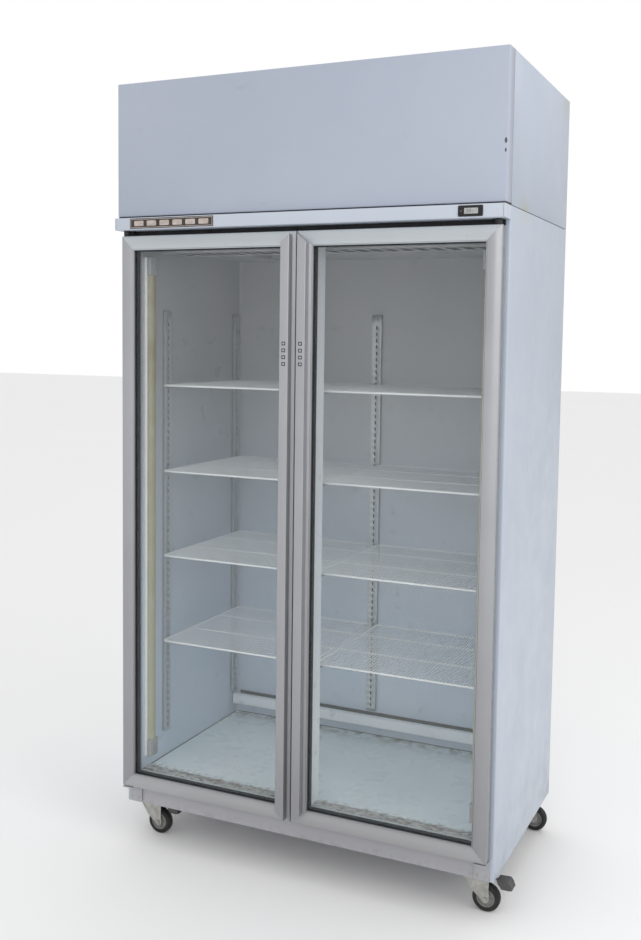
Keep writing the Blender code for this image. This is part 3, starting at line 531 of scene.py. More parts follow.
def add_piece(name, bm, material, replaces=(), body="cabinet", bevel=0.0, segments=2, angle=35,
              sheet=0.0, sheet_side=-1.0):
    """Makes the piece in the row's frame, shades it, and says which body and nodes it stands for."""
    bmesh.ops.translate(bm, verts=bm.verts, vec=ORIGIN)
    bmesh.ops.recalc_face_normals(bm, faces=bm.faces)
    mesh = bpy.data.meshes.new(name)
    bm.to_mesh(mesh)
    bm.free()
    mesh.materials.append(MATERIALS[material])
    mesh.shade_smooth()
    mesh.set_sharp_from_angle(angle=math.radians(angle))
    obj = bpy.data.objects.new(name, mesh)
    bpy.context.scene.collection.objects.link(obj)
    if sheet:
        modifier = obj.modifiers.new("sheet", "SOLIDIFY")
        modifier.thickness = sheet
        modifier.offset = sheet_side
    if bevel:
        modifier = obj.modifiers.new("edges", "BEVEL")
        modifier.width = bevel
        modifier.segments = segments
        modifier.limit_method = "ANGLE"
        modifier.angle_limit = math.radians(angle)
        modifier.harden_normals = True
    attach(obj, body)
    if replaces:
        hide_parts(*replaces)
    return obj


# Cabinet outside


def folded_box(low, high, radius, open_faces, top_lip):
    """A rounded box of sheet with some of its faces left off, and only a lip left round its top."""
    bm = bmesh.new()
    add_box(bm, low, high)
    bmesh.ops.recalc_face_normals(bm, faces=bm.faces)
    open_normals = [Vector(face) for face in open_faces]
    keep_sharp = set()
    for face in bm.faces:
        if any(face.normal.dot(normal) > 0.9 for normal in open_normals):
            keep_sharp.update(face.edges)
    edges = [edge for edge in bm.edges if edge not in keep_sharp]
    bmesh.ops.bevel(bm, geom=edges, offset=radius, segments=4, profile=0.5, affect="EDGES")
    bm.faces.ensure_lookup_table()
    bm.normal_update()
    top = max((face for face in bm.faces if face.normal.z > 0.9), key=lambda face: face.calc_area())
    bmesh.ops.inset_region(bm, faces=[top], thickness=top_lip, depth=0.0)
    doomed = [top]
    for face in bm.faces:
        if any(face.normal.dot(normal) > 0.9 for normal in open_normals) and face is not top:
            doomed.append(face)
    bmesh.ops.delete(bm, geom=doomed, context="FACES")
    return bm


def build_header():
    panel_gap, side_gap, inset = 0.0045, 0.0018, 0.0022
    low, high = local_box("header_front_panel")
    bm = folded_box(low + Vector((0, 0, panel_gap)), high, 0.003, ((0, 1, 0),), 0.025)
    add_piece("header_panel", bm, "header", ["header_front_panel"], sheet=0.0018)
    seam_z, front = low.z + 0.001, low.y + inset
    low, high = local_box("header_surround")
    low = Vector((low.x, low.y + 0.0012, low.z + side_gap))
    high = high - Vector((0, REAR_INSET, 0))
    bm = folded_box(low, high, 0.0025, ((0, -1, 0), (0, 0, -1)), 0.025)
    rear = max((face for face in bm.faces if face.normal.y > 0.9), key=lambda face: face.calc_area())
    bmesh.ops.delete(bm, geom=[rear], context="FACES")
    add_piece("header_sides", bm, "side", ["header_surround"], sheet=0.0015)
    build_rear_grille(low, high, header_slots())
    # painted shade: black sheets behind the gaps round the header front panel and along its foot
    bm = bmesh.new()
    inner = HALF - inset
    add_box(bm, (-inner, front, seam_z), (inner, front + 0.002, seam_z + 0.009))
    for side, _ in SIDES:
        outer_x, inner_x = side * inner, side * (inner - 0.002)
        add_box(bm, (outer_x, front + 0.0025, seam_z), (inner_x, high.y - 0.004, seam_z + 0.007))
        add_box(bm, (outer_x, -0.004, seam_z + 0.0075), (inner_x, 0.004, high.z - 0.004))
    add_piece("header_gap_shade", bm, "seal")


def header_slots():
    """(x low, x high, z low, z high) of each slot in the header's back."""
    low, high = local_box("condenser_coil")
    middle = (low.x + high.x) / 2
    slots = []
    for bank in (-0.110, 0.110):
        for row in range(8):
            z = 1.870 + row * 0.030
            slots.append((middle + bank - 0.090, middle + bank + 0.090, z, z + 0.010))
    return slots


def sheet_with_holes(bm, xs, zs, holes, y):
    """A flat sheet in the XZ plane cut on the lines xs and zs, without the cells that fall in a hole."""
    grid = {}
    for i, x in enumerate(xs):
        for k, z in enumerate(zs):
            grid[i, k] = bm.verts.new((x, y, z))
    for i in range(len(xs) - 1):
        for k in range(len(zs) - 1):
            x, z = (xs[i] + xs[i + 1]) / 2, (zs[k] + zs[k + 1]) / 2
            if not any(x0 < x < x1 and z0 < z < z1 for x0, x1, z0, z1 in holes):
                bm.faces.new((grid[i, k], grid[i + 1, k], grid[i + 1, k + 1], grid[i, k + 1]))
    loose = [vert for vert in bm.verts if not vert.link_faces]
    bmesh.ops.delete(bm, geom=loose, context="VERTS")


def build_rear_grille(low, high, slots):
    """The header's back sheet with its louvred slots, the hole for the power inlet, and its screws."""
    inlet_low, _ = local_box("control_box")
    inlet = (inlet_low.x + 0.027, inlet_low.x + 0.063, inlet_low.z + 0.031, inlet_low.z + 0.059)
    holes = slots + [inlet]
    edge = 0.0025
    xs = sorted({low.x + edge, high.x - edge, *(h[0] for h in holes), *(h[1] for h in holes)})
    zs = sorted({low.z, high.z - edge, *(h[2] for h in holes), *(h[3] for h in holes)})
    bm = bmesh.new()
    sheet_with_holes(bm, xs, zs, holes, high.y)
    obj = add_piece("header_back", bm, "side", sheet=0.0015)
    if obj.data.polygons[0].normal.y < 0:
        obj.data.flip_normals()
    bm = bmesh.new()
    outside, inside = high.y - 0.0003, high.y - 0.011
    for x0, x1, z0, z1 in slots:
        blade = [(outside, z1 - 0.0004), (inside, z0 + 0.001), (inside, z0 - 0.0002), (outside, z1 - 0.0016)]
        add_prism(bm, blade, "x", x0 - 0.001, x1 + 0.001)
    add_piece("header_louvres", bm, "side")
    places = [(x, high.y - 0.0014, z) for x in (-0.54, -0.27, 0.0, 0.27, 0.54) for z in (1.842, 2.180)]
    add_screws("header_back_screws", places, (1, "y"), 0.0035)


def build_shell():
    """The wrap of sheet round the sides and back, with its front flanges and rear screws."""
    radius, sheet, sink = 0.005, 0.0011, 0.0014
    low, high = local_box("outer_shell")
    flange_x = HALF - 0.048
    centre = (HALF - radius, radius)
    outer = [(flange_x, 0.0)] + arc(centre, radius, 270, 360, 8)
    outer += arc((HALF - 0.003, DEPTH - 0.003), 0.003, 0, 90, 4)
    inner = [(flange_x, sheet)] + arc(centre, radius - sheet, 270, 360, 8)
    inner += [(HALF - sheet, DEPTH - sheet)]
    outline = outer + [(-x, y) for x, y in reversed(outer)]
    outline += [(-x, y) for x, y in inner] + list(reversed(inner))
    bm = bmesh.new()
    add_prism(bm, outline, "z", low.z, high.z)
    add_piece("cabinet_shell", bm, "side", ["outer_shell"])
    side_x = HALF - 0.012
    places = [(x, z) for x in (-side_x, side_x) for z in (0.20, 0.75, 1.30, 1.78)]
    places += [(x, 0.135) for x in (-0.25, 0.0, 0.25)]
    add_screws("shell_screws", [(x, DEPTH - sink, z) for x, z in places], (1, "y"))


def build_strip():
    """The trim strip with its display, a blank plate in a thin frame, the hinge pins under it, and black
    sheets as painted shade in the gap above the doors and behind the strip's slits.
    """
    low, high = local_box("trim_strip")
    low = Vector((low.x, low.y + 0.0015, 1.793))
    cap, slit = 0.0026, 0.0008
    outline = rounded_rectangle((low.y, low.z), (high.y + 0.004, high.z), 0.0025)
    outline = [(min(y, high.y), z) for y, z in outline]
    cleaned = [point for i, point in enumerate(outline) if point != outline[i - 1]]
    bm = bmesh.new()
    inner_low, inner_high = low.x + cap + slit, high.x - cap - slit
    for start, end in ((low.x, low.x + cap), (inner_low, inner_high), (high.x - cap, high.x)):
        add_prism(bm, cleaned, "x", start, end)
    add_piece("trim_strip_cover", bm, "strip", ["trim_strip"], bevel=0.0006)
    bm = bmesh.new()
    washer = low.z - DOOR_TOP - 0.0003
    for side, _ in SIDES:
        hinge = side * HINGE_X
        add_cylinder(bm, (hinge, HINGE_Y, DOOR_TOP - 0.014), PIN_RADIUS, 0.030, "z", 20, 0.0006)
        add_cylinder(bm, (hinge, HINGE_Y, DOOR_TOP + 0.0005), 0.009, washer, "z", 20, 0.0004)
        block_low = (side * (HALF - 0.040), -0.024, low.z - 0.004)
        add_box(bm, block_low, (side * (HALF - 0.012), -0.006, low.z + 0.001))
    # painted shade: a black sheet in the gap between the doors' tops and the strip, and one inside the strip
    # that shows through its slits
    gap_shade_x, slit_shade_x = HALF - 0.012, HALF - 0.004
    add_box(bm, (-gap_shade_x, -0.0078, DOOR_TOP + 0.0008), (gap_shade_x, -0.0008, low.z + 0.001))
    add_box(bm, (-slit_shade_x, low.y + 0.004, low.z + 0.003), (slit_shade_x, high.y - 0.002, high.z - 0.003))
    add_piece("top_hinges_and_gap_shade", bm, "seal", bevel=0.0004)
    build_plate(low.y)
    build_display(low.y)


def build_plate(front):
    """A dark plate on the strip, with a thin frame and a row of plain rounded blocks."""
    left, right, bottom, top = -0.513, -0.2435, 1.796, 1.824
    bm = bmesh.new()
    add_rounded_box(bm, (left, front - 0.0012, bottom), (right, front + 0.0004, top), "y", 0.0015, 3)
    add_piece("blank_plate", bm, "plate", bevel=0.0003)
    bm = bmesh.new()
    raised, sunk = front - 0.0015, front - 0.0008
    rim = 0.0022
    profile = [(0.0, raised), (rim * 0.6, raised), (rim * 0.6, sunk), (0.0, sunk)]
    ring_bars(bm, (left + rim, bottom + rim), (right - rim, top - rim), profile)
    count, pitch, half_x, half_z = 6, 0.042, 0.0155, 0.0072
    middle, centre_z = (left + right) / 2, (bottom + top) / 2
    for i in range(count):
        x = middle + (i - (count - 1) / 2) * pitch
        block_low = (x - half_x, raised, centre_z - half_z)
        add_rounded_box(bm, block_low, (x + half_x, sunk, centre_z + half_z), "y", 0.0030, 4)
    add_piece("blank_plate_pattern", bm, "plate_mark")


def build_display(front):
    """A dark case with a pale window, two figures and a sign in it, and a button."""
    low, high = local_box("display_bezel")
    bm = bmesh.new()
    add_rounded_box(bm, (low.x, low.y + 0.0003, low.z), (high.x, front + 0.002, high.z), "y", 0.003, 4)
    add_piece("display_case", bm, "gloss_black", ["display_bezel"], bevel=0.0008)
    bm = bmesh.new()
    window_low = (low.x + 0.016, low.y + 0.0001, low.z + 0.0065)
    add_rounded_box(bm, window_low, (high.x - 0.012, low.y + 0.001, high.z - 0.0065), "y", 0.0012, 3)
    add_piece("display_window", bm, "lcd")
    bm = bmesh.new()
    centre_z = (low.z + high.z) / 2
    for figure, dx in zip("38-", (0.023, 0.0305, 0.038)):
        add_digit(bm, low.x + dx, centre_z, low.y, figure)
    add_piece("display_digits", bm, "digit")
    bm = bmesh.new()
    add_cylinder(bm, (low.x + 0.008, low.y, centre_z), 0.0028, 0.0010, "y", 16, 0.0003)
    add_piece("display_button", bm, "plastic")


SEGMENTS = {"3": "abgcd", "8": "abcdefg", "-": "g"}


def add_digit(bm, x, z, y, figure):
    """A seven-segment figure, 4.4 mm wide and 8 mm tall."""
    w, h, t = 0.0022, 0.004, 0.0004
    bars = {
        "a": (-w, h, w, h), "g": (-w, 0.0, w, 0.0), "d": (-w, -h, w, -h),
        "f": (-w, 0.0, -w, h), "b": (w, 0.0, w, h), "e": (-w, -h, -w, 0.0), "c": (w, -h, w, 0.0),
    }
    for segment in SEGMENTS[figure]:
        x0, z0, x1, z1 = bars[segment]
        inset = 0.0006
        if x0 == x1:
            add_box(bm, (x + x0 - t, y, z + z0 + inset), (x + x0 + t, y + 0.0002, z + z1 - inset))
        else:
            add_box(bm, (x + x0 + inset, y, z + z0 - t), (x + x1 - inset, y + 0.0002, z + z0 + t))


def build_base():
    """The plinth and underside tray, and the two plates that carry the doors' lower hinge pins."""
    low, high = local_box("base_frame")
    wall, lip = 0.002, 0.022
    left, right, front, back = low.x + wall, high.x - wall, low.y + wall, high.y - wall
    tray_low = low.z + 0.0035
    bm = bmesh.new()
    for box_low, box_high in (
        ((low.x, low.y, tray_low), (high.x, front, high.z)),
        ((low.x, back, tray_low), (high.x, high.y, high.z)),
        ((low.x, front, tray_low), (left, back, high.z)),
        ((right, front, tray_low), (high.x, back, high.z)),
        ((left, front, high.z - wall), (right, back, high.z)),
        ((left, front, tray_low), (right, low.y + lip, tray_low + wall)),
        ((left, high.y - lip, tray_low), (right, back, tray_low + wall)),
    ):
        add_box(bm, box_low, box_high)
    add_piece("base_tray", bm, "base", ["base_frame"], bevel=0.0008)
    bm = bmesh.new()
    pad, bolt = 0.033, 0.025
    for _, x, y in castor_places():
        add_rounded_box(bm, (x - pad, y - pad, low.z), (x + pad, y + pad, low.z + 0.0032), "z", 0.004, 3)
        for dx in (-bolt, bolt):
            for dy in (-bolt, bolt):
                add_cylinder(bm, (x + dx, y + dy, low.z - 0.0035), 0.0055, 0.0038, "z", 6, 0.0005)
    for dy in (-0.020, 0.020):
        for end in (0.060, DEPTH - 0.060):
            y = end + dy
            add_box(bm, (left, y - 0.010, high.z - 0.040), (right, y + 0.010, high.z - wall))
    add_piece("castor_mountings", bm, "galvanised", bevel=0.0006)
    for side, name in SIDES:
        build_hinge_bracket(side, name)


def build_hinge_bracket(side, name):
    """A plate on the plinth with a tab under the door and the pin that stands on it."""
    low, high = local_box(f"hinge_bracket_{name}")
    tab_top, front = 0.1692, -0.0033
    outer = side * DOOR_X
    bm = bmesh.new()
    plate_end = (outer - side * 0.042, high.y, tab_top)
    add_rounded_box(bm, (outer, front, low.z), plate_end, "y", 0.002, 3)
    tab_end = (outer - side * 0.032, front + 0.002, tab_top)
    add_rounded_box(bm, (outer, low.y, tab_top - 0.003), tab_end, "z", 0.0018, 3)
    add_cylinder(bm, (side * HINGE_X, HINGE_Y, tab_top - 0.001), PIN_RADIUS, 0.0175, "z", 20, 0.0006)
    add_cylinder(bm, (side * HINGE_X, HINGE_Y, tab_top - 0.0055), 0.0065, 0.0025, "z", 6, 0.0004)
    replaced = [f"hinge_bracket_{name}"]
    add_piece(f"hinge_plate_{name}", bm, "base", replaced, bevel=0.0006)
    places = [(outer - side * dx, front, low.z + dz) for dx in (0.010, 0.032) for dz in (0.012, 0.040)]
    add_screws(f"hinge_plate_screws_{name}", places, (-1, "y"), 0.0030)


# Doors

def door_profile(width, handle=False):
    """(distance from the door's edge, y) round a frame bar: a crowned face, a groove and bead beside the
    glass, and a channel in the outer side."""
    radius, sag, bead = 0.0022, 0.0030, 0.0012
    face_end = width - 0.0032
    ridge_start, ridge_end, ridge_top, ridge_round = (width - 0.026) / 2, (width + 0.026) / 2, -0.0617, 0.0022

    def face(s):
        return DOOR_FRONT + sag * (2 * (s - radius) / (face_end - radius) - 1) ** 2

    ridge = [(ridge_start, face(ridge_start))]
    ridge += arc((ridge_start + ridge_round, ridge_top + ridge_round), ridge_round, 180, 270, 5)
    ridge += arc((ridge_end - ridge_round, ridge_top + ridge_round), ridge_round, 270, 360, 5)
    ridge += [(ridge_end, face(ridge_end))]
    steps = 12
    stations = [radius + (face_end - radius) * i / steps for i in range(1, steps + 1)]
    edge = DOOR_FRONT + sag
    points = arc((radius, edge + radius), radius, 180, 270, 4)
    if handle:
        points += [(s, face(s)) for s in stations if s < ridge_start - 0.001]
        points += ridge
        points += [(s, face(s)) for s in stations if s > ridge_end + 0.001]
    else:
        points += [(s, face(s)) for s in stations]
    points += [(face_end + 0.0006, edge + 0.0012), (face_end + 0.0012, edge)]
    points += arc((width - bead, edge + bead), bead, 270, 360, 4)
    points += [(width, PANE_FRONT - 0.0003), (width - REBATE, PANE_FRONT - 0.0003)]
    points += [(width - REBATE, DOOR_BACK), (0.0008, DOOR_BACK), (0.0, DOOR_BACK - 0.0008)]
    return points + [(0.0, -0.0150), (CHANNEL, -0.0150), (CHANNEL, -0.0310), (0.0, -0.0310)]


def build_door(side, name):
    """The frame's four bars, two panes on a spacer, the glazing seals, the gasket and the pull marks."""
    body = f"{name}_door"
    outer_x, inner_x = side * DOOR_X, side * INNER_EDGE
    length = abs(outer_x - inner_x)
    slope = RAIL / MEETING
    plain, wide = door_profile(RAIL), door_profile(MEETING, True)

    def hinge_side(s, y, z):
        return outer_x - side * s, y, z

    def meeting_side(s, y, z):
        return inner_x + side * s, y, z

    def lower(s, y, distance):
        return outer_x - side * distance, y, DOOR_BOTTOM + s

    def upper(s, y, distance):
        return outer_x - side * distance, y, DOOR_TOP - s

    bars = (
        ("hinge_stile", plain, hinge_side, DOOR_BOTTOM, DOOR_TOP, 1.0, 1.0, "anodised"),
        ("meeting_stile", wide, meeting_side, DOOR_BOTTOM, DOOR_TOP, slope, slope, "anodised"),
        ("bottom_rail", plain, lower, 0.0, length, 1.0, 1 / slope, "anodised_rail_painted_lighter"),
        ("top_rail", plain, upper, 0.0, length, 1.0, 1 / slope, "anodised_rail_painted_lighter"),
    )
    for bar, profile, place_at, start, end, first_slope, last_slope, material in bars:
        bm = bmesh.new()
        mitred_bar(bm, profile, place_at, start, end, first_slope, last_slope)
        add_piece(f"{name}_frame_{bar}", bm, material, [f"{name}_door_{bar}"], body, angle=28)
    # painted shade: a dark strip in the hinge stile's outer channel
    bm = bmesh.new()
    channel_end = (outer_x - side * CHANNEL, -0.0155, DOOR_TOP - 0.004)
    add_box(bm, (outer_x - side * 0.0006, -0.0305, DOOR_BOTTOM + 0.004), channel_end)
    add_piece(f"{name}_frame_side_channel_shade", bm, "channel_shade_alloy", body=body)
    build_glazing(name, body)
    build_gasket(name, body)
    build_pull_mark(side, name, body)


def build_gasket(name, body):
    """The door's soft seal: a foot, two necks and a bulb that meets the cabinet."""
    low, high = local_box(f"{name}_door_gasket")
    foot, neck, shoulder, bulb = (low.y + rise for rise in (0.0015, 0.0025, 0.0040, 0.0050))
    profile = [
        (0.001, low.y), (0.015, low.y), (0.015, foot), (0.011, neck), (0.012, shoulder), (0.0155, bulb),
        (0.0155, high.y - 0.0006), (0.0149, high.y), (0.0011, high.y), (0.0005, high.y - 0.0006),
        (0.0005, bulb), (0.004, shoulder), (0.005, neck), (0.001, foot),
    ]
    bm = bmesh.new()
    ring_bars(bm, (low.x, low.z), (high.x, high.z), profile)
    add_piece(f"{name}_frame_gasket", bm, "gasket", [f"{name}_door_gasket"], body, angle=50)


def build_glazing(name, body):
    """The outer and inner pane, the dark spacer between them and the seals at their edges."""
    low, high = local_box(f"{name}_door_glass_unit")
    ring_low, ring_high = (low.x, low.z), (high.x, high.z)
    edge = 0.0005
    for pane, front in (("outer", PANE_FRONT), ("inner", PANE_BACK - PANE)):
        bm = bmesh.new()
        add_box(bm, (low.x + edge, front, low.z + edge), (high.x - edge, front + PANE, high.z - edge))
        replaced = [f"{name}_door_glass_unit"] if pane == "outer" else []
        add_piece(f"{name}_pane_{pane}", bm, "glass", replaced, body)
    bm = bmesh.new()
    front, back, inner = PANE_FRONT + PANE + 0.0002, PANE_BACK - PANE - 0.0002, REBATE + 0.0022
    ring_bars(bm, ring_low, ring_high, [(0.002, front), (inner, front), (inner, back), (0.002, back)])
    add_piece(f"{name}_pane_spacer", bm, "seal", body=body)
    bm = bmesh.new()
    lip, root, glass_y = REBATE + 0.0008, REBATE - 0.0012, PANE_FRONT - 0.0002
    profile = [(root, PANE_FRONT - 0.0026), (lip, PANE_FRONT - 0.0020), (lip + 0.0008, glass_y),
               (root, glass_y)]
    ring_bars(bm, ring_low, ring_high, profile)
    front, back = PANE_BACK + 0.0001, PANE_BACK + 0.0022
    profile = [(0.002, front), (REBATE + 0.001, front), (REBATE - 0.0005, back), (0.002, back)]
    ring_bars(bm, ring_low, ring_high, profile)
    add_piece(f"{name}_glazing_seal", bm, "seal", body=body)


def build_pull_mark(side, name, body):
    """A plain column of four small dark frames printed on the handle."""
    bm = bmesh.new()
    x, y = side * (INNER_EDGE + MEETING / 2), -0.0618
    for i in range(4):
        z = 1.482 - i * 0.018
        outlines = [rounded_rectangle((x - half_x, z - half_z), (x + half_x, z + half_z), radius, 3)
                    for half_x, half_z, radius in ((0.0055, 0.0050, 0.0012), (0.0030, 0.0026, 0.0008))]
        loops = [[bm.verts.new((px, y, pz)) for px, pz in outline] for outline in outlines]
        join_loops(bm, loops, capped=False)
    add_piece(f"{name}_pull_mark", bm, "digit", body=body, sheet=0.0001)


# Inside


def build_liner():
    """Gives the CAD's own liner panels their materials, and adds coves, joints and door sills."""
    for node, key in (("liner_wall_left", "liner"), ("liner_wall_right", "liner"), ("liner_back", "liner"),
                      ("liner_roof", "liner"), ("liner_floor", "floor"), ("centre_mullion", "mullion")):
        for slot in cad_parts[node].material_slots:
            slot.material = MATERIALS[key]
    floor_low, floor_high = local_box("liner_floor")
    roof_low, _ = local_box("liner_roof")
    wall_x, back_y, top = floor_high.x, floor_high.y, floor_high.z
    radius, joint = 0.010, 0.0016
    cove = [math.radians(angle) for angle in range(15, 90, 15)]
    bm = bmesh.new()
    for side in (-1, 1):
        corner, inset = side * wall_x, side * radius
        outline = [(corner, back_y), (corner - inset, back_y)]
        outline += [(corner - inset * (1 - math.sin(t)), back_y - radius * (1 - math.cos(t))) for t in cove]
        outline.append((corner, back_y - radius))
        add_prism(bm, outline, "z", top, roof_low.z)
    add_piece("liner_corners", bm, "liner")
    bm = bmesh.new()
    for side in (-1, 1):
        joint_end = (side * (wall_x - joint), back_y - radius, top + joint)
        add_box(bm, (side * wall_x, 0.046, top), joint_end)
    add_box(bm, (-wall_x, back_y - joint, top), (wall_x, back_y, top + joint))
    add_piece("floor_joint", bm, "joint")
    bm = bmesh.new()
    outline = [(0.0025, top), (0.036, top), (0.036, top + 0.0012), (0.033, top + 0.0020),
               (0.006, top + 0.0020), (0.0025, top + 0.0010)]
    for x0, x1 in ((-wall_x, -0.046), (0.046, wall_x)):
        add_prism(bm, outline, "x", x0, x1)
    add_piece("door_sill", bm, "sill")
    build_air_grille(roof_low.z)


def build_air_grille(ceiling):
    """The slotted cover under the ceiling's air ducts."""
    low_x, high_x, front, back = -0.500, 0.500, 0.075, 0.215
    bm = bmesh.new()
    count = 22
    pitch = (high_x - low_x - 0.04) / count
    xs, holes = [low_x, high_x], []
    for i in range(count):
        x0 = low_x + 0.02 + i * pitch + pitch * 0.18
        holes.append((x0, x0 + pitch * 0.64, front + 0.025, back - 0.025))
        xs += [x0, x0 + pitch * 0.64]
    sheet_with_holes(bm, sorted(xs), [front, front + 0.025, back - 0.025, back], holes, 0.0)
    for vert in bm.verts:
        vert.co = Vector((vert.co.x, vert.co.z, ceiling - 0.010))
    edges = [edge for edge in bm.edges if edge.is_boundary and all(
        abs(v.co.y - front) < 1e-6 or abs(v.co.y - back) < 1e-6 for v in edge.verts)
        and abs(edge.verts[0].co.y - edge.verts[1].co.y) < 1e-6]
    made = bmesh.ops.extrude_edge_only(bm, edges=edges)["geom"]
    for vert in made:
        if isinstance(vert, bmesh.types.BMVert):
            vert.co.z = ceiling - 0.0008
    add_piece("ceiling_grille", bm, "liner", sheet=0.001)


def pilaster_sheet(bm, width, proud, low, high, place_at):
    """A channel with a row of upright slots. place_at takes (across, out, z) to a point."""
    pitch, slot_height, slot_width = 0.020, 0.011, 0.0045
    count = int((high - low - 0.02) / pitch)
    zs = [low]
    for i in range(count):
        z = low + 0.012 + i * pitch
        zs += [z, z + slot_height]
    zs.append(high)
    half, slot = width / 2, slot_width / 2
    across = [(-half, 0.0), (-half, proud), (-slot, proud), (slot, proud), (half, proud), (half, 0.0)]
    grid = [[bm.verts.new(place_at(a, out, z)) for a, out in across] for z in zs]
    for k in range(len(zs) - 1):
        for i in range(len(across) - 1):
            is_slot = i == 2 and k % 2 == 1
            if not is_slot:
                bm.faces.new((grid[k][i], grid[k][i + 1], grid[k + 1][i + 1], grid[k + 1][i]))


def build_pilasters():
    """The slotted uprights on the side walls and the back, each with a dark strip inside as painted shade
    behind its slots.
    """
    # painted shade: dark strips on the wall behind the slots
    slot_shade = bmesh.new()
    half, lift, end = 0.0065, 0.0015, 0.004
    for side, name in SIDES:
        for where in ("front", "rear"):
            node = f"pilaster_{name}_{where}"
            low, high = local_box(node)
            wall = low.x if side < 0 else high.x
            middle = (low.y + high.y) / 2
            bm = bmesh.new()
            pilaster_sheet(bm, high.y - low.y, high.x - low.x, low.z, high.z,
                           lambda a, out, z: (wall - side * out, middle + a, z))
            add_pilaster(node, bm)
            strip_end = (wall - side * lift, middle + half, high.z - end)
            add_box(slot_shade, (wall, middle - half, low.z + end), strip_end)
    low, high = local_box("pilaster_rear_centre")
    middle = (low.x + high.x) / 2
    bm = bmesh.new()
    pilaster_sheet(bm, high.x - low.x, high.y - low.y, low.z, high.z,
                   lambda a, out, z: (middle + a, high.y - out, z))
    add_pilaster("pilaster_rear_centre", bm)
    add_box(slot_shade, (middle - half, high.y - lift, low.z + end), (middle + half, high.y, high.z - end))
    add_piece("pilaster_slot_shade", slot_shade, "joint")


def add_pilaster(node, bm):
    add_piece(f"slotted_{node}", bm, "pilaster", [node], sheet=0.0012, sheet_side=0.0)


def build_shelf(side, name, level):
    """Fine wires from front to back on cross bars, inside a thicker outer wire, on two wall clips."""
    node = f"shelf_{name}_{level}"
    low, high = local_box(node)
    rim, bar, fine, corner = 0.0030, 0.0024, 0.0016, 0.014
    bars_y = (0.250, 0.420)
    x0, x1, y0, y1 = low.x + rim, high.x - rim, low.y + rim, high.y - rim
    bm = bmesh.new()
    path = [(x, y, high.z - rim - 0.0002) for x, y in rounded_rectangle((x0, y0), (x1, y1), corner, 5)]
    half = len(path) // 2
    add_tube(bm, path[: half + 1], rim)
    add_tube(bm, path[half:] + [path[0]], rim)
    for y in bars_y:
        add_rod(bm, (x0, y, low.z + 0.0002), (x1, y, low.z + 0.0002), bar)
    count = int((x1 - x0 - 0.012) / 0.0096)
    pitch = (x1 - x0) / (count + 1)
    z = high.z - fine
    for i in range(1, count + 1):
        x = x0 + i * pitch
        add_tube(bm, [(x, y0, z), (x, bars_y[0], z), (x, y1, z)], fine, 6)
    add_piece(f"wire_{node}", bm, "wire", [node], angle=60)
    bm = bmesh.new()
    wall = side * 0.5137
    for y in (0.121, 0.532):
        arm_start = (wall - side * 0.0115, y - 0.005, low.z - 0.007)
        add_box(bm, arm_start, (wall - side * 0.024, y + 0.005, low.z - 0.0035))
        hook_start = (wall - side * 0.0105, y - 0.003, low.z - 0.010)
        add_box(bm, hook_start, (wall - side * 0.0125, y + 0.003, high.z + 0.004))
    add_piece(f"clips_{node}", bm, "zinc", bevel=0.0005)


def build_inner_clips():
    """The clips on the centre rear pilaster and on the mullion that hold the shelves' inner edges."""
    bm = bmesh.new()
    for level in SHELF_LEVELS:
        z = local_box(f"shelf_left_{level}")[0].z
        add_box(bm, (-0.032, 0.538, z - 0.007), (0.010, 0.556, z - 0.0035))
        add_box(bm, (-0.012, 0.545, z - 0.012), (-0.004, 0.5565, z - 0.003))
        add_box(bm, (-0.032, 0.0465, z - 0.007), (0.032, 0.098, z - 0.0035))
    add_piece("shelf_centre_clips", bm, "zinc", bevel=0.0005)


def build_guard_rail():
    """A rounded rail on three hidden brackets, with a dark strip on the wall behind it as painted shade in the
    gap.
    """
    low, high = local_box("rear_guard_rail")
    bm = bmesh.new()
    rail_low = (low.x + 0.001, low.y, low.z)
    add_rounded_box(bm, rail_low, (high.x - 0.001, high.y, high.z), "x", 0.006, 5)
    for x in (-0.38, 0.0, 0.38):
        add_box(bm, (x - 0.012, high.y - 0.004, low.z + 0.008), (x + 0.012, high.y + 0.009, high.z - 0.012))
    add_piece("guard_rail", bm, "mullion", ["rear_guard_rail"], bevel=0.001)
    # painted shade: a dark strip on the back wall in the gap behind the rail
    bm = bmesh.new()
    wall = local_box("liner_back")[0].y
    add_box(bm, (low.x + 0.006, wall - 0.0007, low.z + 0.010), (high.x - 0.006, wall, high.z + 0.002))
    add_piece("guard_rail_gap_shade", bm, "joint")


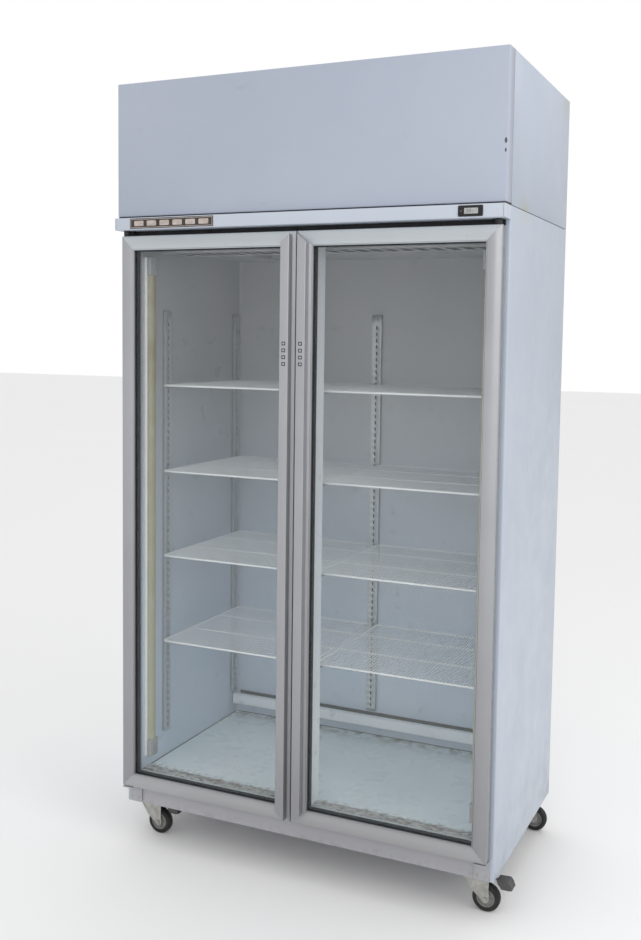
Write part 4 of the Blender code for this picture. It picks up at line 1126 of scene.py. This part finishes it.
def build_lamp(side, name):
    """An upright light fitting: a domed cover on a tray, between two screwed end caps."""
    low, high = local_box(f"lamp_{name}")
    low = Vector((low.x, low.y, low.z + 0.025))
    wall = high.x if side > 0 else low.x
    cap = 0.050

    def out(distance):
        return wall - side * distance

    y0, y1 = low.y, high.y
    centre_y, half_y = (y0 + y1) / 2, (y1 - y0 - 0.008) / 2
    dome = [(out(0.006), y0 + 0.003)]
    for i in range(9):
        angle = math.radians(180 * i / 8)
        dome.append((out(0.009 + 0.0128 * math.sin(angle)), centre_y - half_y * math.cos(angle)))
    dome.append((out(0.006), y1 - 0.003))
    bm = bmesh.new()
    add_prism(bm, dome, "z", low.z + cap, high.z - cap)
    add_piece(f"lamp_cover_{name}", bm, "lamp", [f"lamp_{name}"])
    bm = bmesh.new()
    add_box(bm, (wall, y0, low.z), (out(0.0075), y1, high.z))
    add_piece(f"lamp_tray_{name}", bm, "wire", bevel=0.001)
    bm = bmesh.new()
    for z0, z1 in ((low.z, low.z + cap - 0.0005), (high.z - cap + 0.0005, high.z)):
        add_rounded_box(bm, (out(0.0078), y0 + 0.0005, z0), (out(0.0219), y1 - 0.0005, z1), "z", 0.003, 3)
    add_piece(f"lamp_caps_{name}", bm, "plastic_pale", bevel=0.0008)
    places = [(out(0.0217), centre_y, z) for z in (low.z + 0.022, high.z - 0.022)]
    add_screws(f"lamp_screws_{name}", places, (-side, "x"), 0.0035)


# Cooling unit


def build_compressor():
    """A domed shell with a seam, a foot plate and a terminal cover, on four rubber feet."""
    low, high = local_box("compressor")
    x, y, base = (low.x + high.x) / 2, (low.y + high.y) / 2, low.z
    radius, steps = 0.083, 10
    profile = [(0.0, 0.012), (0.060, 0.012), (0.078, 0.024), (radius, 0.036), (radius, 0.088),
               (0.0845, 0.090), (0.0845, 0.094), (radius, 0.096)]
    for i in range(steps + 1):
        angle = math.radians(90 * i / steps)
        profile.append((radius * math.cos(angle), 0.128 + 0.056 * math.sin(angle)))
    bm = bmesh.new()
    add_turned(bm, [(r, base + h) for r, h in profile], (x, y, 0.0), "z", 40)
    add_rounded_box(bm, (low.x, low.y, base), (high.x, high.y, base + 0.0035), "z", 0.012, 5)
    cover_low = (x + 0.060, y - 0.032, base + 0.045)
    add_rounded_box(bm, cover_low, (x + 0.098, y + 0.032, base + 0.105), "x", 0.008, 4)
    add_piece("compressor_shell", bm, "enamel", ["compressor"], bevel=0.0008)
    bm = bmesh.new()
    foot = [(0.0, 0.0035), (0.013, 0.0035), (0.013, 0.007), (0.009, 0.009), (0.013, 0.012), (0.0, 0.012)]
    for dx in (-0.085, 0.085):
        for dy in (-0.065, 0.065):
            add_turned(bm, [(r, base + h) for r, h in foot], (x + dx, y + dy, 0.0), "z", 18)
    add_piece("compressor_feet", bm, "rubber")


def build_condenser():
    """A finned block between two end plates, with return bends and a pressed fan shroud on its front."""
    low, high = local_box("condenser_coil")
    fan_low, fan_high = local_box("condenser_fan")
    fan_x, fan_z = (fan_low.x + fan_high.x) / 2, (fan_low.z + fan_high.z) / 2
    block_front = low.y + 0.0525
    fins, fin, plate, tube = 96, 0.0002, 0.002, 0.0045
    pitch = (high.x - low.x - 0.02) / fins
    bm = bmesh.new()
    for i in range(fins + 1):
        x = low.x + 0.010 + i * pitch
        add_box(bm, (x - fin, block_front, low.z + 0.006), (x + fin, high.y - 0.002, high.z - 0.002))
    add_piece("condenser_fins", bm, "fins", ["condenser_coil"])
    bm = bmesh.new()
    for x in (low.x, high.x - plate):
        add_box(bm, (x, block_front - plate, low.z), (x + plate, high.y, high.z))
    add_piece("condenser_ends", bm, "galvanised", bevel=0.0005)
    bm = bmesh.new()
    rows, tubes_y = 10, (block_front + 0.015, high.y - 0.015)
    row_pitch = (high.z - low.z - 0.03) / rows
    for row in range(rows + 1):
        z = low.z + 0.015 + row * row_pitch
        for y in tubes_y:
            add_tube(bm, [(low.x - 0.001, y, z), (low.x + 0.1, y, z), (high.x + 0.001, y, z)], tube, 10)
    half_turn = [(math.sin(math.radians(a)), 1 - math.cos(math.radians(a))) for a in range(0, 181, 20)]
    for row in range(rows):
        z = low.z + 0.015 + row * row_pitch
        x, sign = (low.x, -1) if row % 2 else (high.x, 1)
        for y in tubes_y:
            bend = [(x + sign * 0.012 * out, y, z + row_pitch / 2 * up) for out, up in half_turn]
            add_tube(bm, bend, tube, 10)
    add_piece("condenser_tubes", bm, "copper")
    build_shroud(low, high, block_front, fan_x, fan_z)


def build_shroud(low, high, back, fan_x, fan_z):
    """A plate with a round throat for the fan, a rim round it, a wire guard in front and the motor."""
    throat, steps, tiny, far = 0.116, 48, 1e-6, 9.0
    plate_y, guard_y = low.y + 0.018, low.y + 0.0008

    def place(r, c, s, y):
        return fan_x + r * c, y, fan_z + r * s

    ring, square = [], []
    for c, s in turns(steps):
        ring.append((c, s, throat))
        across = (high.x - fan_x) / abs(c) if abs(c) > tiny else far
        upright = ((high.z - fan_z) if s > 0 else (fan_z - low.z)) / abs(s) if abs(s) > tiny else far
        square.append((c, s, min(across, upright)))
    bm = bmesh.new()
    outlines = ((square, back - 0.0005), (square, plate_y), (ring, plate_y), (ring, low.y + 0.002))
    loops = [[bm.verts.new(place(r, c, s, y)) for c, s, r in points] for points, y in outlines]
    join_loops(bm, loops, capped=False)
    add_piece("condenser_shroud", bm, "enamel", sheet=0.001, sheet_side=0.0)
    bm = bmesh.new()
    for radius in (0.030, 0.050, 0.070, 0.090, 0.110):
        circle = turns(steps)
        add_tube(bm, [place(radius, c, s, guard_y) for c, s in circle + circle[:1]], 0.0012, 6)
    for c, s in turns(4, 45):
        add_tube(bm, [place(r, c, s, guard_y + 0.0018) for r in (0.024, 0.070, 0.120)], 0.0016, 6)
    add_piece("condenser_fan_guard", bm, "zinc")
    bm = bmesh.new()
    add_cylinder(bm, (fan_x, low.y + 0.0375, fan_z), 0.026, back - low.y - 0.038, "y", 28, 0.002)
    for c, s in turns(3, 90):
        add_tube(bm, [place(r, c, s, back - 0.006) for r in (0.020, 0.070, 0.119)], 0.003, 8)
    add_piece("condenser_motor", bm, "enamel", bevel=0.0004)


def build_fan(name, axis, blades, hub_radius):
    """A hub with curved, twisted blades, in place of the CAD's flat-bladed fan."""
    low, high = local_box(name)
    centre = (low + high) / 2
    spread = [high[i] - low[i] for i in range(3) if i != "xyz".index(axis)]
    radius = min(spread) / 2 * 0.985
    depth = (high["xyz".index(axis)] - low["xyz".index(axis)]) / 2
    hub = bmesh.new()
    profile = [(0.0, -depth), (hub_radius - 0.003, -depth), (hub_radius, -depth + 0.003),
               (hub_radius, depth - 0.002), (hub_radius - 0.002, depth), (0.0, depth)]
    add_turned(hub, profile, (0, 0, 0), "z", 28)
    across, out = 7, 7
    for b in range(blades):
        base = 2 * math.pi * b / blades
        grid = []
        for i in range(out + 1):
            r = hub_radius * 0.9 + (radius - hub_radius * 0.9) * i / out
            pitch = math.radians(38 - 16 * i / out)
            chord = radius * (0.30 + 0.22 * math.sin(math.pi * (0.25 + 0.6 * i / out)))
            row = []
            for k in range(across + 1):
                t = k / across - 0.5
                arc_angle = base + t * chord * math.cos(pitch) / r
                z = t * chord * math.sin(pitch) - 0.10 * chord * (0.25 - t * t)
                z = max(-depth * 0.92, min(depth * 0.92, z))
                row.append(hub.verts.new((r * math.cos(arc_angle), r * math.sin(arc_angle), z)))
            grid.append(row)
        for i in range(out):
            for k in range(across):
                hub.faces.new((grid[i][k], grid[i + 1][k], grid[i + 1][k + 1], grid[i][k + 1]))
    turn = Matrix.Identity(3) if axis == "z" else Matrix.Rotation(math.radians(90), 3, "X")
    bmesh.ops.rotate(hub, verts=hub.verts, cent=(0, 0, 0), matrix=turn)
    bmesh.ops.translate(hub, verts=hub.verts, vec=centre)
    add_piece(f"{name}_rotor", hub, "plastic", [name], name, sheet=0.0012, sheet_side=0.0)


def build_machine_bay():
    """The evaporator's insulated box with its coil and fan motor, and what stands beside it."""
    low, high = local_box("evaporator_housing")
    wall, gap = 0.022, 0.0005
    lid, left, right, front, back = high.z - wall, low.x + wall, high.x - wall, low.y + wall, high.y - wall
    bm = bmesh.new()
    for box_low, box_high in (
        ((low.x, low.y, lid), (high.x, high.y, high.z)),
        ((low.x, low.y, low.z), (high.x, front, lid - gap)),
        ((low.x, back, low.z), (high.x, high.y, lid - gap)),
        ((low.x, front + gap, low.z), (left, back - gap, lid - gap)),
        ((right, front + gap, low.z), (high.x, back - gap, lid - gap)),
    ):
        add_box(bm, box_low, box_high)
    add_piece("evaporator_box", bm, "galvanised", ["evaporator_housing"], bevel=0.0012)
    places = [(low.x + dx, low.y + dy, high.z) for dx in (0.03, 0.20, 0.37) for dy in (0.03, 0.40)]
    add_screws("evaporator_box_screws", places, (1, "z"))
    coil_low, coil_high = local_box("evaporator_coil")
    fins, fin = 60, 0.0002
    pitch = (coil_high.x - coil_low.x - 0.01) / fins
    bm = bmesh.new()
    for i in range(fins + 1):
        x = coil_low.x + 0.005 + i * pitch
        add_box(bm, (x - fin, coil_low.y, coil_low.z + 0.003), (x + fin, coil_high.y, coil_high.z))
    for row in range(5):
        for dy in (0.015, 0.040, 0.065):
            y, z = coil_low.y + dy, coil_low.z + 0.02 + row * 0.034
            add_rod(bm, (coil_low.x, y, z), (coil_high.x, y, z), 0.004, 8)
    add_piece("evaporator_fins", bm, "fins", ["evaporator_coil"])
    fan_low, fan_high = local_box("evaporator_fan")
    fan_x, fan_y = (fan_low.x + fan_high.x) / 2, (fan_low.y + fan_high.y) / 2
    bm = bmesh.new()
    add_cylinder(bm, (fan_x, fan_y, fan_high.z + 0.002), 0.018, lid - fan_high.z - 0.002, "z", 24, 0.001)
    add_piece("evaporator_motor", bm, "enamel")
    build_control_box()
    build_pipes()


def build_control_box():
    """A case with a lid and vents, and the three-pin power inlet on its back."""
    low, high = local_box("control_box")
    body_back = 0.602
    bm = bmesh.new()
    add_rounded_box(bm, low, (high.x, body_back, high.z - 0.014), "z", 0.004, 3)
    add_rounded_box(bm, (low.x, low.y, high.z - 0.0132), (high.x, body_back, high.z), "z", 0.004, 3)
    for i in range(4):
        z = low.z + 0.030 + i * 0.008
        add_box(bm, (low.x + 0.04, low.y - 0.0006, z), (high.x - 0.04, low.y + 0.001, z + 0.003))
    add_piece("control_case", bm, "plastic", ["control_box"], bevel=0.001)
    x, z = low.x + 0.045, low.z + 0.045
    bm = bmesh.new()
    outer = rounded_rectangle((x - 0.0165, z - 0.0125), (x + 0.0165, z + 0.0125), 0.002, 3)
    inner = rounded_rectangle((x - 0.0135, z - 0.0095), (x + 0.0135, z + 0.0095), 0.0015, 3)
    outlines = ((outer, body_back - 0.001), (outer, high.y), (inner, high.y), (inner, high.y - 0.009))
    join_loops(bm, [[bm.verts.new((px, y, pz)) for px, pz in points] for points, y in outlines])
    half_x, half_z = 0.0011, 0.002
    for dx, dz in ((-0.007, -0.002), (0.0, 0.002), (0.007, -0.002)):
        pin_low = (x + dx - half_x, high.y - 0.0095, z + dz - half_z)
        add_box(bm, pin_low, (x + dx + half_x, high.y - 0.002, z + dz + half_z))
    add_piece("power_inlet", bm, "gloss_black")


def build_pipes():
    """The suction pipe, the discharge and liquid lines, and the filter drier on the liquid line."""
    low, high = local_box("suction_pipe")
    lower_z, upper_z = low.z + 0.005, high.z - 0.005
    y = (low.y + high.y) / 2
    bend_x = high.x - 0.0685
    corners = [(high.x, lower_z), (bend_x, lower_z), (bend_x, upper_z), (low.x, upper_z)]
    bm = bmesh.new()
    add_tube(bm, rounded_path([(x, y, z) for x, z in corners], 0.020, 8), 0.005, 14)
    add_piece("suction_line", bm, "copper", ["suction_pipe"])
    comp_low, comp_high = local_box("compressor")
    cond_low, _ = local_box("condenser_coil")
    cx, cy = (comp_low.x + comp_high.x) / 2, (comp_low.y + comp_high.y) / 2
    z = comp_low.z + 0.110
    corners = [(cx, cy + 0.080), (cx, cy + 0.130), (cx + 0.20, cy + 0.130), (cx + 0.20, 0.530),
               (cx + 0.184, 0.530)]
    bm = bmesh.new()
    add_tube(bm, rounded_path([(x, y, z) for x, y in corners], 0.012, 6), 0.0035, 12)
    drier_x, z = -0.030, cond_low.z + 0.030
    corners = [(cond_low.x - 0.001, 0.540), (cond_low.x - 0.012, 0.540), (cond_low.x - 0.012, 0.400),
               (drier_x, 0.400), (drier_x, 0.250), (-0.0695, 0.250)]
    add_tube(bm, rounded_path([(x, y, z) for x, y in corners], 0.010, 5), 0.003, 10)
    add_piece("discharge_and_liquid_lines", bm, "copper")
    bm = bmesh.new()
    drier = [(0.0, -0.045), (0.007, -0.045), (0.012, -0.032), (0.012, 0.032), (0.007, 0.045), (0.0, 0.045)]
    add_turned(bm, drier, (drier_x, 0.330, z), "y", 20)
    add_piece("filter_drier", bm, "copper")


# Castors

FORK_HEEL = 0.036


def castor_places():
    """Each castor's label and its swivel axis, which is FORK_HEEL ahead of the fork's left end."""
    for label in ("front_left", "front_right", "rear_left", "rear_right"):
        low, high = local_box(f"castor_fork_{label}")
        yield label, low.x + FORK_HEEL, (low.y + high.y) / 2


def build_castor(label, x, y):
    """The fork's two cheeks and crown, the ball race above it, and the axle with its nuts."""
    wheel_low, wheel_high = local_box(f"castor_wheel_{label}")
    axle_x, axle_z = (wheel_low.x + wheel_high.x) / 2, (wheel_low.z + wheel_high.z) / 2
    top, cheek_in, cheek_out = 0.0965, 0.0140, 0.0162
    outline = [(x - 0.0355, top), (x - 0.0348, top - 0.010), (x - 0.0150, top - 0.040)]
    outline += arc((axle_x, axle_z), 0.0108, 205, 365, 10)
    outline += [(x + 0.031, top - 0.030), (x + 0.0318, top - 0.010), (x + 0.030, top)]
    bm = bmesh.new()
    add_prism(bm, outline, "y", y - cheek_out, y - cheek_in)
    add_prism(bm, outline, "y", y + cheek_in, y + cheek_out)
    crown_low = (x - 0.0355, y - cheek_out, top - 0.0025)
    add_rounded_box(bm, crown_low, (x + 0.030, y + cheek_out, top), "z", 0.006, 4)
    race = [(0.0, -0.001), (0.0175, -0.001), (0.0190, 0.0015), (0.0190, 0.0040), (0.0165, 0.0046),
            (0.0165, 0.0056), (0.0188, 0.0062), (0.0188, 0.0085), (0.0160, 0.0096), (0.0, 0.0096)]
    add_turned(bm, [(r, top + h) for r, h in race], (x, y, 0.0), "z", 32)
    for nut_y in (y - 0.0194, y + 0.0160):
        add_cylinder(bm, (axle_x, nut_y, axle_z), 0.0058, 0.0034, "y", 6, 0.0006)
    add_cylinder(bm, (axle_x, y - 0.0160, axle_z), 0.0038, 0.032, "y", 16)
    add_piece(f"fork_{label}", bm, "zinc", [f"castor_fork_{label}"], f"castor_{label}", bevel=0.0005)
    build_wheel(label, (axle_x, y, axle_z), (wheel_high.x - wheel_low.x) / 2)


def build_wheel(label, centre, radius):
    """A rubber tread with a crowned edge on a grey hub with a recessed web and five ribs a side."""
    half, core = 0.0120, 0.0248
    rise = [(core, half - 0.0012), (core + 0.003, half - 0.0004), (radius - 0.0055, half),
            (radius - 0.0024, half - 0.0016), (radius - 0.0006, half - 0.0040), (radius, 0.004)]
    bm = bmesh.new()
    add_turned(bm, [(r, -h) for r, h in rise] + rise[::-1], centre, "y", 56)
    body = f"wheel_{label}"
    add_piece(f"tread_{label}", bm, "rubber", [f"castor_wheel_{label}"], body)
    bm = bmesh.new()
    side = [(0.0043, 0.0118), (0.0105, 0.0118), (0.0115, 0.0108), (0.0125, 0.0070), (0.0205, 0.0070),
            (0.0218, 0.0105), (0.0240, 0.0112), (0.0247, 0.0105)]
    add_turned(bm, side + [(r, -h) for r, h in reversed(side)], centre, "y", 48)
    for c, s in turns(5):
        for y in (-0.0080, 0.0080):
            start, end = (Vector(centre) + Vector((r * c, y, r * s)) for r in (0.011, 0.0215))
            add_rod(bm, start, end, 0.0016, 6)
    add_piece(f"hub_{label}", bm, "hub", body=body)


def build_pedal(label, x, y):
    """The brake's lever and its wide ribbed pad."""
    _, high = local_box(f"brake_pedal_{label}")
    pivot_x, pivot_z = x + 0.037, 0.086
    body = f"pedal_{label}"
    bm = bmesh.new()
    heel_x, toe_x = pivot_x - 0.016, pivot_x + 0.024
    lever = [(heel_x, pivot_z - 0.005), (toe_x, pivot_z + 0.0005), (toe_x, pivot_z + 0.0065),
             (heel_x, pivot_z + 0.004)]
    add_prism(bm, lever, "y", y - 0.008, y + 0.008)
    add_piece(f"brake_lever_{label}", bm, "zinc", [f"brake_pedal_{label}"], body, bevel=0.0012)
    bm = bmesh.new()
    tip, back_x, half = high.x - 0.0004, pivot_x + 0.0154, 0.0178
    crest = (tip - 0.011, pivot_z + 0.0108)
    toe = (tip, pivot_z - 0.010)
    pad = [(back_x, pivot_z + 0.0095), (tip - 0.019, pivot_z + 0.0112), crest, (tip - 0.0045, pivot_z + 0.002)]
    pad += [toe, (tip - 0.008, pivot_z - 0.0122), (tip - 0.029, pivot_z - 0.0125)]
    pad.append((back_x + 0.002, pivot_z + 0.002))
    add_prism(bm, pad, "y", y - half, y + half)
    ribs = 4
    for i in range(ribs):
        t = (i + 0.7) / ribs
        rib_x, rib_z = (start + t * (end - start) for start, end in zip(crest, toe))
        rib_x += 0.0022 * math.sin(math.pi * t) - 0.0012
        add_box(bm, (rib_x - 0.0014, y - 0.015, rib_z - 0.0009), (rib_x + 0.0010, y + 0.015, rib_z + 0.0009))
    add_piece(f"brake_pad_{label}", bm, "plastic", body=body, bevel=0.0014, segments=3)


# Stage


def build_stage():
    bpy.ops.mesh.primitive_plane_add(size=60.0, location=(0, 0, 0))
    floor = bpy.context.object
    floor.name = "studio_floor"
    material, tree, shader = new_material("studio_floor", 0.9)
    set_colour(tree, shader, mix_colour(tree, noise(tree, 0.4, 2.0), (0.94, 0.94, 0.94), (0.92, 0.92, 0.92)))
    floor.data.materials.append(material)
    build_world()
    add_light("key", (3.4, -1.4, 3.0), (0.3, 0.1, 1.1), 2.6, 34)
    add_light("fill", (1.3, -4.4, 2.6), (0.0, 0.0, 1.0), 2.2, 26)


def build_world():
    """A white backdrop that lights the scene more from above than from the horizon."""
    world = bpy.data.worlds.new("studio")
    bpy.context.scene.world = world
    world.use_nodes = True
    tree = world.node_tree
    direction = add_node(tree, "ShaderNodeTexCoord").outputs["Generated"]
    height = add_node(tree, "ShaderNodeSeparateXYZ", None, {"Vector": direction}).outputs["Z"]
    strength = remap(tree, height, -0.1, 0.9, 0.54, 1.02)
    seen = add_node(tree, "ShaderNodeLightPath").outputs["Is Camera Ray"]
    mixed = add_node(tree, "ShaderNodeMix", {3: 1.0}, {0: seen, 2: strength}, data_type="FLOAT").outputs[0]
    background = tree.nodes["Background"]
    background.inputs["Color"].default_value = (1.0, 1.0, 1.0, 1.0)
    tree.links.new(mixed, background.inputs["Strength"])


def add_light(name, place, target, size, power):
    data = bpy.data.lights.new(name, "AREA")
    data.shape = "DISK"
    data.size = size
    data.energy = power
    light = bpy.data.objects.new(name, data)
    bpy.context.scene.collection.objects.link(light)
    light.location = place
    light.rotation_euler = (Vector(target) - Vector(place)).to_track_quat("-Z", "Y").to_euler()


def build_camera():
    """A view from the front right, a little above the middle, with the lens's shift and slight roll."""
    yaw, pitch, roll = 0.425, 0.0791, 0.0141
    place = Vector((1.2662, -2.5664, 1.4947)) + ORIGIN
    forward = Vector((-math.sin(yaw) * math.cos(pitch), math.cos(yaw) * math.cos(pitch), -math.sin(pitch)))
    level = Vector((math.cos(yaw), math.sin(yaw), 0.0))
    above = level.cross(forward)
    right = level * math.cos(roll) + above * math.sin(roll)
    up = above * math.cos(roll) - level * math.sin(roll)
    data = bpy.data.cameras.new("camera")
    data.sensor_fit = "AUTO"
    data.sensor_width = 36.0
    image_width, image_height, focal = 641, 940, 1063.33
    data.lens = data.sensor_width * focal / image_height
    data.shift_x = -(336.47 - image_width / 2) / image_height
    data.shift_y = (423.73 - image_height / 2) / image_height
    camera = bpy.data.objects.new("camera", data)
    bpy.context.scene.collection.objects.link(camera)
    axes = Matrix((right, up, -forward)).transposed()
    camera.matrix_world = Matrix.Translation(place) @ axes.to_4x4()
    bpy.context.scene.camera = camera


MATERIALS = make_materials()
build_shell()
build_header()
build_strip()
build_base()
for door_side, door_name in SIDES:
    build_door(door_side, door_name)
build_liner()
build_pilasters()
for level_number in SHELF_LEVELS:
    for shelf_side, shelf_name in SIDES:
        build_shelf(shelf_side, shelf_name, level_number)
build_inner_clips()
build_guard_rail()
for lamp_side, lamp_name in SIDES:
    build_lamp(lamp_side, lamp_name)
build_compressor()
build_condenser()
build_fan("condenser_fan", "y", 5, 0.030)
build_fan("evaporator_fan", "z", 5, 0.020)
build_machine_bay()
for castor_label, castor_x, castor_y in list(castor_places()):
    build_castor(castor_label, castor_x, castor_y)
    if castor_label.startswith("front"):
        build_pedal(castor_label, castor_x, castor_y)
build_stage()
build_camera()
bpy.context.scene.view_settings.view_transform = "Standard"
